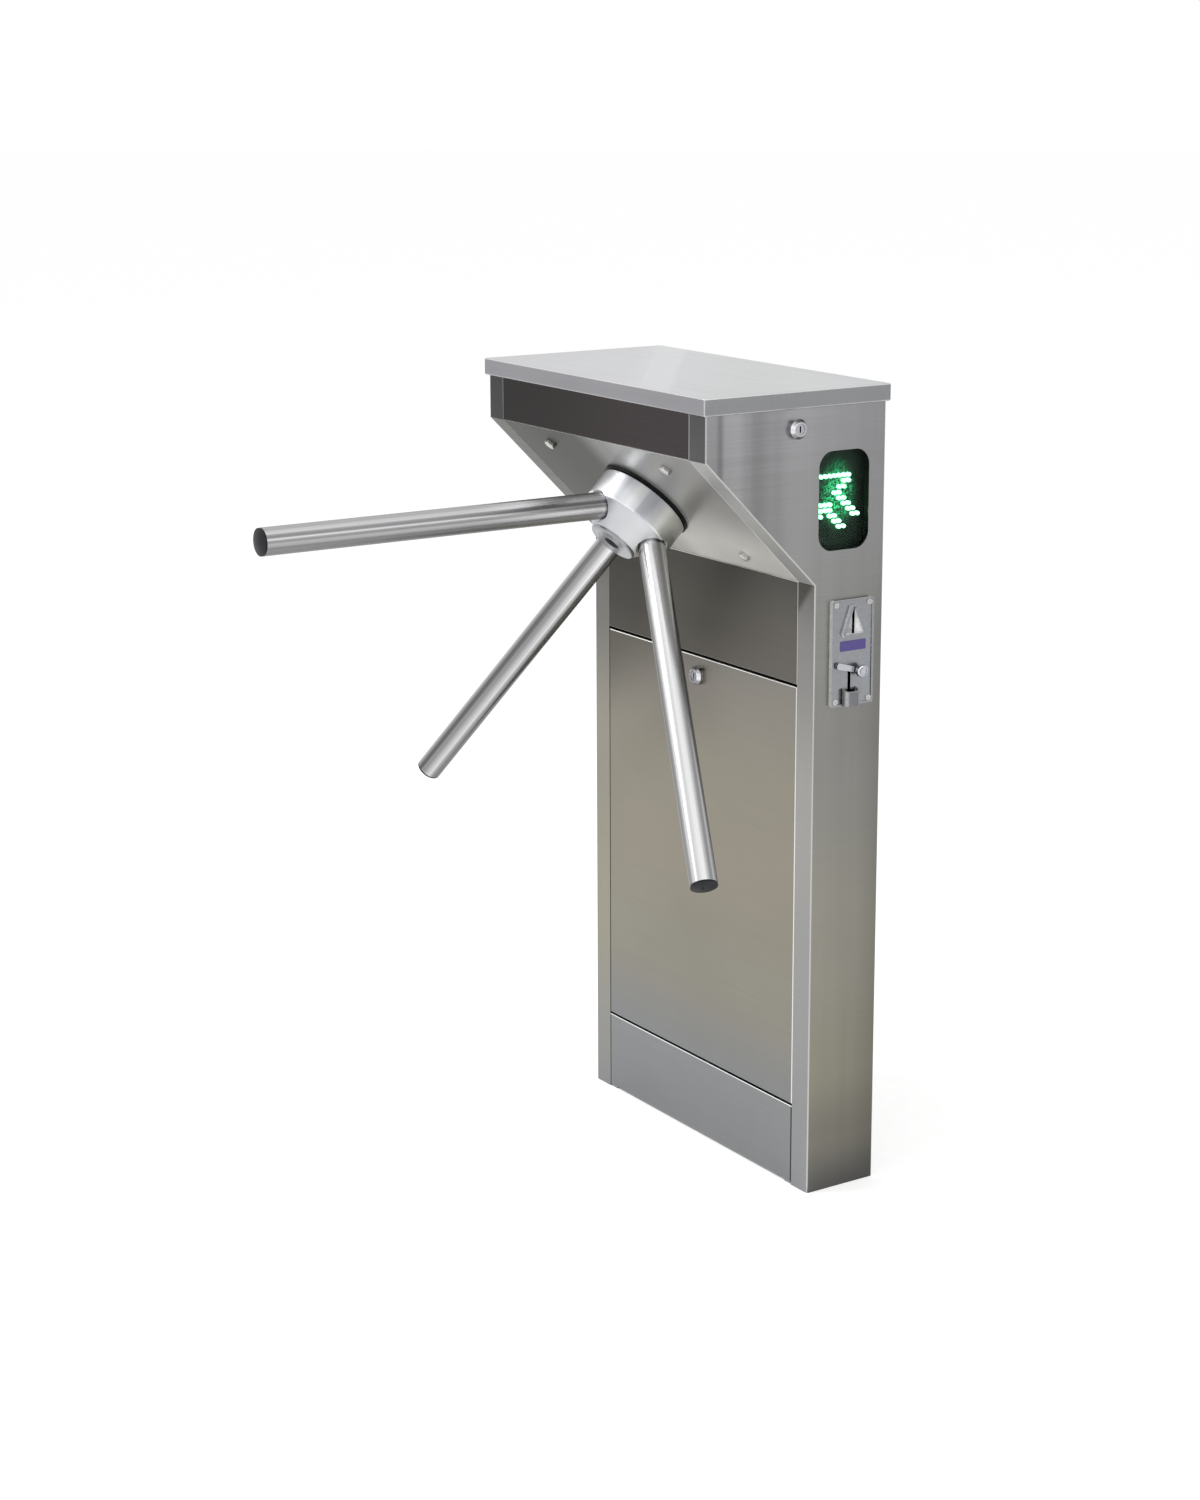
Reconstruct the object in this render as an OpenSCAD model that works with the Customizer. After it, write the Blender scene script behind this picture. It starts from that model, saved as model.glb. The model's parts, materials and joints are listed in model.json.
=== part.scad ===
// Tripod turnstile with a coin acceptor: a bent sheet steel cabinet, a turned hub with three arms,
// and the locking mechanism that sits behind the slanted panel
// Origin: middle of the column's footprint on the floor. +Z is up, -Y faces the passage,
// and +X is the side with the lock, the display and the coin plate

/* [Cabinet] */
// Width across the two side faces
cabinet_w = 480; // [470:1:540]
// Depth of the column
column_d = 102; // [98:1:124]
// How far the head stands out in front of the column
head_reach = 158; // [150:1:170]
// Height of the whole turnstile
total_h = 1000; // [990:1:1050]
// Height from the head's lower front edge to the top of the lid
band_h = 75; // [70:1:85]
// Thickness of the cabinet sheet
sheet_t = 1.5; // [1.2:0.1:1.8]
// Width of the side shells' front and back flanges
flange_w = 33; // [28:1:38]
// Width of the side shells' top flanges, under the lid
top_flange_w = 15; // [10:1:17]
// Width of the joggled tongue that carries the panels
tongue_w = 16; // [10:1:20]
// Gap between a flange and the panel beside it
seam = 0.3; // [0.2:0.1:0.5]
// Height of the plinth panel's upper edge
plinth_h = 104; // [90:1:120]
// Height of the upper panel, above the door
upper_h = 126; // [115:1:145]
// Thickness of the steel base plate
base_t = 15; // [10:1:20]

/* [Floor fixing] */
// Distance between the anchor holes across the width
anchor_x = 400; // [360:1:420]
// Distance between the anchor holes across the depth
anchor_y = 56; // [40:1:60]
// Diameter of an anchor hole
anchor_d = 13; // [9:0.5:15]
// Diameter of the cable entry in the base plate
cable_d = 30; // [16:1:32]

/* [Lid and door] */
// Depth of the lid's lip
lid_lip = 21; // [16:1:26]
// Overhang of the lid at the sides and the back
lid_over = 4; // [3.5:0.5:6]
// Overhang of the lid at the front
lid_front_over = 5; // [4:0.5:8]
// Gap between the lid and the flanges it rests on
lid_rest = 0.3; // [0.2:0.1:0.5]
// Gap between the door and the plinth
door_gap_low = 2.5; // [2.2:0.1:4]
// Gap between the door and the upper panel
door_gap_top = 3; // [2.5:0.5:6]
// Gap between the door and the side flanges
door_gap_side = 0.8; // [0.6:0.1:1.5]
// Depth of the door's bent edges
door_depth = 14; // [10:1:16]
// Distance from the top of the door down to its lock
door_lock_drop = 24; // [20:1:40]

/* [Hub and arms] */
// Distance from the apex of the arms to an arm's tip
arm_reach = 522; // [480:1:540]
// Outer diameter of an arm's tube
arm_d = 33; // [30:0.5:34]
// Wall of an arm's tube
arm_wall = 1.5; // [1.2:0.1:2.5]
// Diameter of the hub
hub_d = 120; // [116:1:124]
// Gap between the hub and the slanted panel
hub_gap = 4.3; // [4:0.1:6]
// Distance from the panel to the start of the hub's cone
cone_out = 40; // [38:0.5:42]
// Diameter of the hub's nose
nose_d = 64; // [60:1:66]
// Thickness of the nose cap
nose_cap_t = 4; // [3:0.5:5]
// Diameter of the flat that is milled round each arm
spot_d = 39; // [38:0.5:42]
// Distance from the apex to that flat
spot_reach = 64.5; // [63:0.5:66]
// Diameter of the black collar behind the hub
collar_d = 124; // [118:1:130]
// Thickness of that collar
collar_t = 3.6; // [3:0.1:3.8]

/* [Mechanism] */
// Diameter of the main shaft
shaft_d = 30; // [28:1:31]
// Outer diameter of a main bearing
bearing_d = 62; // [60:1:66]
// Width of a main bearing
bearing_w = 16; // [14:1:18]
// Diameter of the locking wheel
wheel_d = 110; // [108:1:112]
// Number of notches in the locking wheel
notches = 12; // [6, 12]
// Width of the locking wheel and of the pawls
wheel_w = 10; // [8:1:11]
// Teeth of the main gear
gear_teeth = 48; // [48]
// Teeth of the damper's pinion
pinion_teeth = 16; // [16]
// Module of the gear teeth
gear_module = 2.5; // [2.4:0.1:2.6]
// Swing of a pawl from free to engaged, in degrees
pawl_swing = 8; // [7.5:0.5:8.5]
// Distance between the slant bolts across the panel
bolt_x = 256; // [250:1:280]
// Distance between the slant bolts up the slope
bolt_y = 162; // [158:1:166]

/* [Display and coin plate] */
// Width of the display window
window_w = 74; // [66:1:76]
// Height of the display window
window_h = 119; // [110:1:130]
// Radius of the window's corners
window_r = 20; // [12:1:24]
// Width of the coin plate
coin_w = 62.5; // [60:0.5:66]
// Height of the coin plate
coin_h = 129.5; // [126:0.5:134]
// How far the coin plate's frame stands out
coin_t = 5.5; // [5:0.5:7]
// Diameter of a lock's rim
lock_d = 24; // [22:1:26]

/* [Hidden] */
$fn = 64;

// Running and seating clearances
fit = 0.05;
seat = 0.3;
over = 1;

// Cabinet
half_w = cabinet_w / 2;
col_front = -column_d / 2;
col_back = column_d / 2;
head_front = col_front - head_reach;
band_z = total_h - band_h;
slant_low_z = band_z - head_reach;
upper_z = slant_low_z - upper_h;
tan_half = sqrt(2) - 1;
shell_top = total_h - sheet_t - lid_rest;
panel_top = shell_top - sheet_t;
panel_half = half_w - flange_w - seam;
return_half = half_w - flange_w - tongue_w - seat;
plinth_low = 3;
return_w = 18;
slant_mid_y = (col_front + head_front) / 2;
slant_mid_z = (band_z + slant_low_z) / 2;

// Lid with its catch and hinge tabs
lid_low = total_h - lid_lip;
tab_y = [-150, -10];
tab_w = 30;
tab_t = 2;
tab_in = 12;
tab_slot_h = 15.5;
lock_len = 34;
lock_body_d = 19;
lid_lock_y = col_front - 30;
lid_lock_z = lid_low - 23.4;
cam_len = 26;
cam_w = 10;
cam_t = 2;
cam_in = lock_len - 10 + seat;
catch_y = lid_lock_y + 15;
catch_w = 14;
catch_half = 8;
catch_t = 2;

// Door
door_low = plinth_h + door_gap_low;
door_top = upper_z - door_gap_top;
door_half = half_w - flange_w - door_gap_side;
door_lock_z = door_top - door_lock_drop;
door_cam_len = 33;
pin_y = col_front + 20;
pin_z = door_low + 5;
pin_r = 3;
hook_x = [-150, 150];
hook_t = 4;
ear_gap = 6;
ear_t = 2;

// Slanted panel's frame: local +Z points out of the panel, local +Y up the slope
neck_r = 36;
bolt_r = 4;
bolt_flats = 13;
bolt_head = 5.5;
plate_t = 10;
plate_w = 300;
plate_h = 186;
plate_out = -sheet_t;
plate_in = plate_out - plate_t;

// Bearings, shaft, wheel and gear, as distances behind the panel
lip_t = 4;
front_bearing = plate_out - lip_t;
boss_r = bearing_d / 2 + 9;
rear_boss_r = bearing_d / 2 + 4;
boss_in = front_bearing - bearing_w - 2;
rear_bearing = -80;
rear_in = -84;
rear_t = 8;
rear_w = 192;
rear_h = 198;
rear_mid = -9;
rear_boss_in = rear_bearing - bearing_w - 2;
shaft_r = shaft_d / 2;
ring_t = 4.5;
ball_r = 4.75;
groove_r = 5;
ball_count = 9;
ball_pitch_r = (shaft_r + bearing_d / 2) / 2;
wheel_r = wheel_d / 2;
wheel_mid = -32;
notch_depth = 6.8;
gear_out = -42;
gear_t = 10;
hub_boss_r = shaft_r + 6;
sensor_ring = 46;
key_w = 8;
key_h = 3.3;
nut_flats = 36;
nut_t = 9;
shaft_end = rear_boss_in - 10;

// Gear pair
pressure = 20;
gear_pitch_r = gear_module * gear_teeth / 2;
pinion_pitch_r = gear_module * pinion_teeth / 2;
gear_distance = gear_pitch_r + pinion_pitch_r;
backlash = 0.25;
damper_r = 27;
damper_out = -55;
pinion_shaft_r = 6;

// Pillars between the two plates
pillar_r = 7;
pillars = [[-40, 82], [40, 82], [-80, -68], [80, -68]];

// Pawls: radial and along-the-lever distances at the notch where they engage
notch_angle = 60;
pawl_tip = wheel_r - notch_depth + 1.3;
pawl_axis_a = wheel_r + 7.5;
pawl_axis_b = 50;
tooth_half = 3.2;
lever_half = 5;
pawl_boss_r = 11;
pawl_pin_r = 5;
tail_r = 26;
tail_half = 4.5;
tail_t = 5;
link_r = 2;
slot_half = 1.2;
slot_gap = 0.2;
pivot = pawl_axis_a * [cos(notch_angle), sin(notch_angle)]
    + pawl_axis_b * [sin(notch_angle), -cos(notch_angle)];
plunger_x = pivot[0] + tail_r * cos(pawl_swing / 2);
link_y = pivot[1] - tail_r * sin(pawl_swing / 2);
plunger_r = 6;
plunger_len = 45;
fork_half = 6;
fork_top = 8;
fork_low = 5;
solenoid_y = 50;
solenoid_len = 43;
solenoid_half = 17;
solenoid_t = 3;
coil_r = 15.5;
spring_wire = 0.6;
spring_coils = 4;
spring_r = 7.6;

// Hub
hub_r = hub_d / 2;
nose_r = nose_d / 2;
nose_out = cone_out + hub_r - nose_r;
apex_out = 4;
socket_reach = 32;
arm_r = arm_d / 2;
arm_cap_t = 4;
shaft_top = 30;
hub_bolt_r = 5;
bolt_seat = 58;
cap_hole_r = 10;
nose_bore_r = 12;
grub_r = 4;
grub_radius = 46;

// Display
window_y = -10;
window_z = band_z - 59;
housing_border = 5;
housing_depth = 16;
housing_wall = 2;
window_t = 2.5;
board_t = 1.6;
led_r = 2.5;
led_len = 6;
led_pitch = 6.8;
led_left = -33.3;
led_top = 28;
// Lit columns of the arrow, row by row from the top
arrow = [
    [0, 1, 2, 3, 4, 5, 6, 7], [0, 6, 7], [0, 5, 6], [0, 4, 5], [0, 5, 6],
    [0, 1, 2, 3, 6, 7], [0, 1, 2, 3, 7, 8], [0, 1, 3, 4, 8, 9], [0, 4, 5], [5, 6]
];

// Coin plate
coin_y = 2.75;
coin_drop = 184.25;
coin_z = window_z - coin_drop;
coin_side = 10;
coin_end = 9;
coin_frame = 2.5;
coin_recess = 1.5;
screw_side = 6.5;
screw_end = 6;
entry_low = 23;
entry_h = 34;
entry_out = 2.5;
// Raised hood of the coin entry, from its low edge
entry_hood = [[-4.5, entry_h], [3.5, entry_h], [16, 0], [14, -3.5], [-14, -3.5], [-17, 0]];
slot_y = [-1.2, 3.3];
return_y = [-6.2, -1.6];
lever_y = -21.8;
lever_z = -14.5;
lever_tilt = -15;
lever_r = 30.8;
lever_axle_r = 3;
knob_r = 7.5;
cup_y = -3.8;
cup_w = 22.5;
cup_low = -64;
cup_h = 21;
cup_out = 14;
cup_wall = 2;
cup_r = 2.5;
acceptor_d = 52;
acceptor_gap = 0.5;
acceptor_slot = 30;
mouth_half = 9;
mouth_in = 10;
// Shallow windows in the acceptor's back, low and high edge of each
hatches = [[-50, -26], [-16, 48]];
hatch_half = 17;
hatch_depth = 3;

// Coin box on its shelf, and the chute that leads down to it
box_x = [half_w - 100, half_w - 4];
box_y = [-33, 44];
box_h = 140;
box_drop = 211.75;
box_z = [coin_z - box_drop - box_h, coin_z - box_drop];
box_wall = 1.2;
chute_x = [half_w - 40, half_w - 8];
chute_y = [-10, 16];

// Controller board and power supply, on the back panel
control_x = -150;
control_w = 200;
control_h = 95;
control_z = panel_top - 22 - control_h;
standoff_r = 3;
standoff_h = 5.9;
standoff_in = 5;
// Chips: place from the board's corner, then size
chips = [[30, 20, 30, 30], [80, 50, 20, 14], [120, 50, 20, 14]];
chip_t = 3;
strip_in = 10;
strip_top = 11;
strip_w = 12;
strip_h = 11;
can_x = [150, 166];
can_y = 25;
can_r = 6;
can_h = 18;
supply_x = -180;
supply_w = 160;
supply_d = 43.5;
supply_h = 100;
supply_z = 140;
vent_r = 4;
vent_pitch = 16;
vent_in = 12;

function outline(d) = [
    [col_back - d, 0], [col_front + d, 0], [col_front + d, slant_low_z + d * tan_half],
    [head_front + d, band_z + d * tan_half], [head_front + d, shell_top - d], [col_back - d, shell_top - d]
];
function front_strip(d0, d1, low, top) = [
    [col_front + d0, low], [col_front + d0, slant_low_z + d0 * tan_half],
    [head_front + d0, band_z + d0 * tan_half], [head_front + d0, top],
    [head_front + d1, top], [head_front + d1, band_z + d1 * tan_half],
    [col_front + d1, slant_low_z + d1 * tan_half], [col_front + d1, low]
];
function polar(r, a) = [r * cos(a), r * sin(a)];

// Involute gear outline: angle of the flank at radius r, from the middle of a tooth
function roll(r, base) = r > base ? sqrt(pow(r / base, 2) - 1) * 180 / PI : 0;
function involute(a) = a - atan(a * PI / 180);
function flank(r, teeth, pitch_r) = let(base = pitch_r * cos(pressure))
    90 / teeth - backlash / 2 / pitch_r * 180 / PI
    + involute(roll(pitch_r, base)) - involute(roll(r, base));
function gear_outline(teeth, phase) = let(
        pitch_r = gear_module * teeth / 2,
        root = pitch_r - 1.25 * gear_module,
        base = pitch_r * cos(pressure),
        start = max(root, base),
        top = pitch_r + gear_module,
        steps = 3,
        radii = [root, for (i = [0 : steps]) start + (top - start) * i / steps]
    ) [for (t = [0 : teeth - 1], side = [-1, 1], i = [0 : len(radii) - 1])
        let(r = side < 0 ? radii[i] : radii[len(radii) - 1 - i])
        polar(r, phase + 360 / teeth * t + side * flank(max(r, start), teeth, pitch_r))];

module along_x(x0, x1) translate([x0, 0, 0]) rotate([90, 0, 90]) linear_extrude(x1 - x0) children();
module block(low, high) translate(low) cube(high - low);
module both_sides() {
    children();
    mirror([1, 0, 0]) children();
}
module at_slant() translate([0, slant_mid_y, slant_mid_z]) rotate([135, 0, 0]) children();
module at_arm(k) at_slant() translate([0, 0, apex_out]) rotate([0, 0, 120 * k])
    rotate([-45, 0, 0]) children();
// Local X runs along +Y, local Y up and local Z out of the right side face
module at_side(y, z) translate([half_w, y, z]) rotate([90, 0, 90]) children();
// Local X runs along +X, local Y up and local Z out of the column's front
module at_front(x, z) translate([x, col_front, z]) rotate([90, 0, 0]) children();
module rounded(w, h, r) {
    square([w - 2 * r, h], center = true);
    square([w, h - 2 * r], center = true);
    for (x = [-1, 1], y = [-1, 1]) translate([x * (w / 2 - r), y * (h / 2 - r)]) circle(r);
}
module slab(w, h, r, low, high) translate([0, 0, low]) linear_extrude(high - low) rounded(w, h, r);
module rod(r, low, high) translate([0, 0, low]) cylinder(r = r, h = high - low);
module tube(outer, inner, low, high) difference() {
    rod(outer, low, high);
    rod(inner, low - over, high + over);
}
module hexagon(flats, low, high) translate([0, 0, low])
    cylinder(d = flats / cos(30), h = high - low, $fn = 6);
// Disc with a rounded upper edge
module soft_disc(r, edge, low, high) translate([0, 0, low]) rotate_extrude() {
    square([r - edge, high - low]);
    square([r, high - low - edge]);
    translate([r - edge, high - low - edge]) intersection() {
        circle(edge);
        square(edge);
    }
}

// Side shells

module shell_sheet() {
    along_x(half_w - sheet_t, half_w) polygon(outline(0));
    along_x(half_w - flange_w, half_w) {
        polygon(front_strip(0, sheet_t, 0, shell_top));
        translate([col_back - sheet_t, 0]) square([sheet_t, shell_top]);
    }
    along_x(half_w - top_flange_w, half_w)
        translate([head_front, panel_top]) square([col_back - head_front, sheet_t]);
    along_x(half_w - flange_w - tongue_w, half_w - flange_w + 4) {
        difference() {
            polygon(front_strip(sheet_t, 2 * sheet_t, 0, panel_top - sheet_t));
            translate([col_front, plinth_h]) square([3 * sheet_t, upper_z - plinth_h]);
        }
        translate([col_back - 2 * sheet_t, 0]) square([sheet_t, panel_top - sheet_t]);
    }
}
module left_side_shell() color("silver") difference() {
    mirror([1, 0, 0]) shell_sheet();
    for (y = tab_y) translate([-half_w - over, y - tab_w / 2 - seat, lid_low - seat])
        cube([sheet_t + 2 * over, tab_w + 2 * seat, tab_slot_h]);
}
module right_side_shell() color("silver") difference() {
    union() {
        shell_sheet();
        block([box_x[0] - 2, box_y[0], box_z[0] - 2 * sheet_t], [half_w - sheet_t, box_y[1], box_z[0]]);
        block([box_x[0] - 2, box_y[0], box_z[0] - 20], [half_w - sheet_t, box_y[0] + sheet_t, box_z[0]]);
    }
    at_side(window_y, window_z) slab(window_w, window_h, window_r, -2 * sheet_t, over);
    at_side(lid_lock_y, lid_lock_z) rod(lock_body_d / 2 + fit, -2 * sheet_t, over);
    at_side(coin_y, coin_z) {
        slab(coin_w - 2 * coin_side, coin_h - 2 * coin_end, 1, -2 * sheet_t, over);
        coin_corners() rod(2 + fit, -2 * sheet_t, over);
        translate([lever_y, lever_z]) rod(lever_axle_r + seat, -2 * sheet_t, over);
    }
}

// Panels between the flanges

module panel_strip(points) along_x(-panel_half, panel_half) polygon(points);
// Bent edge between the tongues: a shelf from the panel's front face to the depth y
module panel_return(y, z) along_x(-return_half, return_half)
    translate([col_front + sheet_t / 2, z]) square([y - col_front - sheet_t / 2, sheet_t]);
module band_panel() color([0.27, 0.25, 0.25]) {
    panel_strip([
        [head_front, band_z + seam], [head_front, panel_top], [head_front + return_w, panel_top],
        [head_front + return_w, panel_top - sheet_t], [head_front + sheet_t, panel_top - sheet_t],
        [head_front + sheet_t, band_z + seam + sheet_t * tan_half]
    ]);
}
module slant_panel() color("silver") difference() {
    let(g = seam / sqrt(2)) panel_strip([
        [col_front - g, slant_low_z + g], [head_front + g, band_z - g],
        [head_front + sheet_t + g, band_z + sheet_t * tan_half - g],
        [col_front + sheet_t - g, slant_low_z + sheet_t * tan_half + g]
    ]);
    at_slant() {
        rod(neck_r, -3 * sheet_t, over);
        bolt_places() rod(bolt_r + seat, -3 * sheet_t, over);
    }
}
module upper_panel() color("dimgray") {
    panel_strip([
        [col_front, upper_z], [col_front, slant_low_z - seam],
        [col_front + sheet_t, slant_low_z + sheet_t * tan_half - seam], [col_front + sheet_t, upper_z]
    ]);
    panel_return(col_front + cam_in - seat, upper_z);
}
module plinth_panel() color("silver") {
    panel_strip([
        [col_front, plinth_low], [col_front, plinth_h],
        [col_front + sheet_t, plinth_h], [col_front + sheet_t, plinth_low]
    ]);
    panel_return(pin_y + 8, plinth_h - sheet_t);
    for (x = hook_x) {
        for (side = [-1, 1]) translate([x + side * (ear_gap + ear_t) / 2, 0, 0])
            along_x(-ear_t / 2, ear_t / 2) {
                translate([pin_y - 4, plinth_h - over]) square([8, pin_z - plinth_h + over]);
                translate([pin_y, pin_z]) circle(4);
            }
        translate([x - ear_gap / 2 - over, pin_y, pin_z]) rotate([0, 90, 0])
            cylinder(r = pin_r, h = ear_gap + 2 * over);
    }
}
module back_panel() color("silver") panel_strip([
    [col_back, plinth_low], [col_back, panel_top], [col_back - return_w, panel_top],
    [col_back - return_w, panel_top - sheet_t], [col_back - sheet_t, panel_top - sheet_t],
    [col_back - sheet_t, plinth_low]
]);
module base_plate() color("gray") difference() {
    block([-half_w + sheet_t, col_front + 2 * sheet_t + seat, 0],
        [half_w - sheet_t, col_back - 2 * sheet_t - seat, base_t]);
    for (x = [-1, 1], y = [-1, 1]) translate([x * anchor_x / 2, y * anchor_y / 2, 0])
        rod(anchor_d / 2, -over, base_t + over);
    rod(cable_d / 2, -over, base_t + over);
}

// Slant bolts, collar, plates and pillars

module bolt_places() for (x = [-1, 1], y = [-1, 1]) translate([x * bolt_x / 2, y * bolt_y / 2]) children();
module slant_bolts() color("gainsboro") at_slant() bolt_places() {
    intersection() {
        hexagon(bolt_flats, 0, bolt_head);
        translate([0, 0, bolt_head - 17]) sphere(r = 17);
    }
    rod(bolt_r, plate_in + 2, over / 2);
}
module neck_collar() color([0.06, 0.06, 0.06]) at_slant()
    tube(collar_d / 2, shaft_r + 1.5, 0, collar_t);
module mechanism_plate() color("lightslategray") at_slant() difference() {
    union() {
        slab(plate_w, plate_h, 8, plate_in, plate_out);
        rod(boss_r, boss_in, plate_out);
    }
    rod(bearing_d / 2 - 4, boss_in - over, over);
    rod(bearing_d / 2 + fit, boss_in - over, front_bearing);
    bolt_places() rod(bolt_r + fit, plate_in - over, over);
    both_sides() translate(pivot) rod(pawl_pin_r + fit, plate_in - over, over);
    for (p = pillars) translate(p) rod(3 + fit, plate_in - over, over);
}
module rear_plate() color("lightslategray") at_slant() difference() {
    union() {
        translate([0, rear_mid, 0]) slab(rear_w, rear_h, 8, rear_in - rear_t, rear_in);
        rod(rear_boss_r, rear_boss_in, rear_bearing + 2);
    }
    rod(bearing_d / 2 - 4, rear_boss_in - over, 0);
    rod(bearing_d / 2 + fit, rear_bearing - bearing_w, 0);
    for (p = pillars) translate(p) rod(3 + fit, rear_in - rear_t - over, 0);
    sensor_places() rod(6 + fit, rear_in - rear_t - over, 0);
}
module spacer_pillars() color("gainsboro") at_slant() for (p = pillars) translate(p) {
    rod(pillar_r, rear_in, plate_in);
    rod(3, plate_in - over / 2, plate_out - 1);
    rod(3, rear_in - rear_t, rear_in + over / 2);
    hexagon(10, rear_in - rear_t - 5, rear_in - rear_t);
}

// Bearings

module bearing_places() for (face = [front_bearing, rear_bearing])
    translate([0, 0, face - bearing_w]) children();
module race(low_r, high_r) rotate_extrude() difference() {
    translate([low_r, 0]) square([high_r - low_r, bearing_w]);
    translate([ball_pitch_r, bearing_w / 2]) circle(groove_r);
}
module bearing_outer_rings() color("gainsboro") at_slant() bearing_places()
    race(bearing_d / 2 - ring_t, bearing_d / 2);
module bearing_inner_rings() color("gainsboro") at_slant() bearing_places()
    race(shaft_r + fit, shaft_r + ring_t);
module bearing_balls() color("white") at_slant() bearing_places() for (i = [0 : ball_count - 1])
    rotate([0, 0, 360 / ball_count * i]) translate([ball_pitch_r, 0, bearing_w / 2]) sphere(r = ball_r);

// Tripod

module hub() color("gainsboro") difference() {
    at_slant() difference() {
        rotate_extrude($fn = 96) polygon([
            [0, hub_gap], [hub_r - 1, hub_gap], [hub_r, hub_gap + 1], [hub_r, cone_out],
            [nose_r, nose_out], [0, nose_out]
        ]);
        rod(shaft_r + fit, 0, shaft_top + seat);
        rod(hub_bolt_r + fit, shaft_top, nose_out + over);
        rod(nose_bore_r + fit, bolt_seat, nose_out + over);
        for (k = [0 : 2]) rotate([0, 0, 120 * k]) translate([0, grub_radius, 0])
            rod(grub_r + fit, 0, 28);
    }
    for (k = [0 : 2]) at_arm(k) {
        rod(arm_r + fit, socket_reach, spot_reach + 20);
        rod(arm_r + 1.1, spot_reach - 3, spot_reach + 20);
        rod(spot_d / 2, spot_reach, spot_reach + 30);
    }
}
module hub_cap() color("gainsboro") at_slant() {
    difference() {
        soft_disc(nose_r - 0.5, 3, nose_out, nose_out + nose_cap_t);
        rod(cap_hole_r, nose_out - over, nose_out + nose_cap_t + over);
    }
    tube(nose_bore_r, cap_hole_r, nose_out - 5, nose_out + over / 2);
}
module arm(k) color("silver") at_arm(k)
    tube(arm_r, arm_r - arm_wall, socket_reach + seat, arm_reach - arm_cap_t);
module arm_end_caps() color([0.1, 0.1, 0.11]) for (k = [0 : 2]) at_arm(k) {
    intersection() {
        rod(arm_r - 0.2, arm_reach - arm_cap_t, arm_reach);
        translate([0, 0, arm_reach - 70]) sphere(r = 70, $fn = 96);
    }
    rod(arm_r - arm_wall - fit, arm_reach - arm_cap_t - 12, arm_reach - arm_cap_t + over / 2);
}
module hub_screws() color("dimgray") at_slant() {
    rod(hub_bolt_r, 6, bolt_seat + over / 2);
    difference() {
        rod(8, bolt_seat, bolt_seat + 10);
        hexagon(8, bolt_seat + 5, bolt_seat + 10 + over);
    }
    for (k = [0 : 2]) rotate([0, 0, 120 * k]) translate([0, grub_radius, 0]) difference() {
        rod(grub_r, 7, apex_out + grub_radius - grub_r - arm_r * sqrt(2) - seat);
        hexagon(4, 6, 11);
    }
}
module shaft() color("silver") at_slant() difference() {
    union() {
        rod(shaft_r, shaft_end, shaft_top);
        translate([-key_w / 2, 0, gear_out - gear_t]) cube([key_w, shaft_r + key_h, 24]);
    }
    rod(hub_bolt_r + fit, 4, shaft_top + over);
}
module keyed_bore(low, high) {
    rod(shaft_r + fit, low - over, high + over);
    translate([-key_w / 2 - fit, 0, low - over])
        cube([key_w + 2 * fit, shaft_r + key_h + seat, high - low + 2 * over]);
}
module notch() polygon([
    [wheel_r - notch_depth, -tooth_half - 1], [wheel_r + over, -tooth_half - 3],
    [wheel_r + over, tooth_half + 3], [wheel_r - notch_depth, tooth_half + 1]
]);
module locking_wheel() color("slategray") at_slant() difference() {
    union() {
        translate([0, 0, wheel_mid - wheel_w / 2]) linear_extrude(wheel_w) difference() {
            circle(wheel_r, $fn = 96);
            for (i = [0 : notches - 1]) rotate(360 / notches * i) notch();
            for (i = [0 : 5]) rotate(60 * i + 30) translate([34, 0]) circle(6.5, $fn = 32);
        }
        rod(hub_boss_r, gear_out + 2 + seat, front_bearing - bearing_w - seat);
    }
    keyed_bore(gear_out + 2, front_bearing - bearing_w);
}
module main_gear() color("slategray") at_slant() difference() {
    union() {
        translate([0, 0, gear_out - gear_t]) linear_extrude(gear_t) difference() {
            polygon(gear_outline(gear_teeth, 0));
            for (i = [0 : 5]) rotate(60 * i) translate([sensor_ring, 0]) circle(6);
        }
        rod(hub_boss_r, rear_bearing + seat, gear_out + 2);
    }
    keyed_bore(rear_bearing, gear_out + 2);
}
module shaft_nut() color("gainsboro") at_slant() difference() {
    hexagon(nut_flats, rear_bearing - bearing_w - seat - nut_t, rear_bearing - bearing_w - seat);
    rod(shaft_r + fit, shaft_end - over, rear_bearing);
}

// Damper with its pinion

module at_damper() at_slant() translate([0, -gear_distance, 0]) children();
module damper_body() color([0.15, 0.15, 0.16]) at_damper() difference() {
    union() {
        rod(damper_r, rear_in, damper_out);
        rod(11, damper_out - over, damper_out + 1.5);
    }
    rod(pinion_shaft_r + fit, rear_in + 4, 0);
}
module damper_pinion() color("goldenrod") at_damper() {
    rotate([0, 0, 180 / pinion_teeth]) translate([0, 0, gear_out - gear_t])
        linear_extrude(gear_t) polygon(gear_outline(pinion_teeth, 0));
    rod(pinion_shaft_r, rear_in + 5, gear_out);
}

// Pawls, plungers, springs and solenoids

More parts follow.
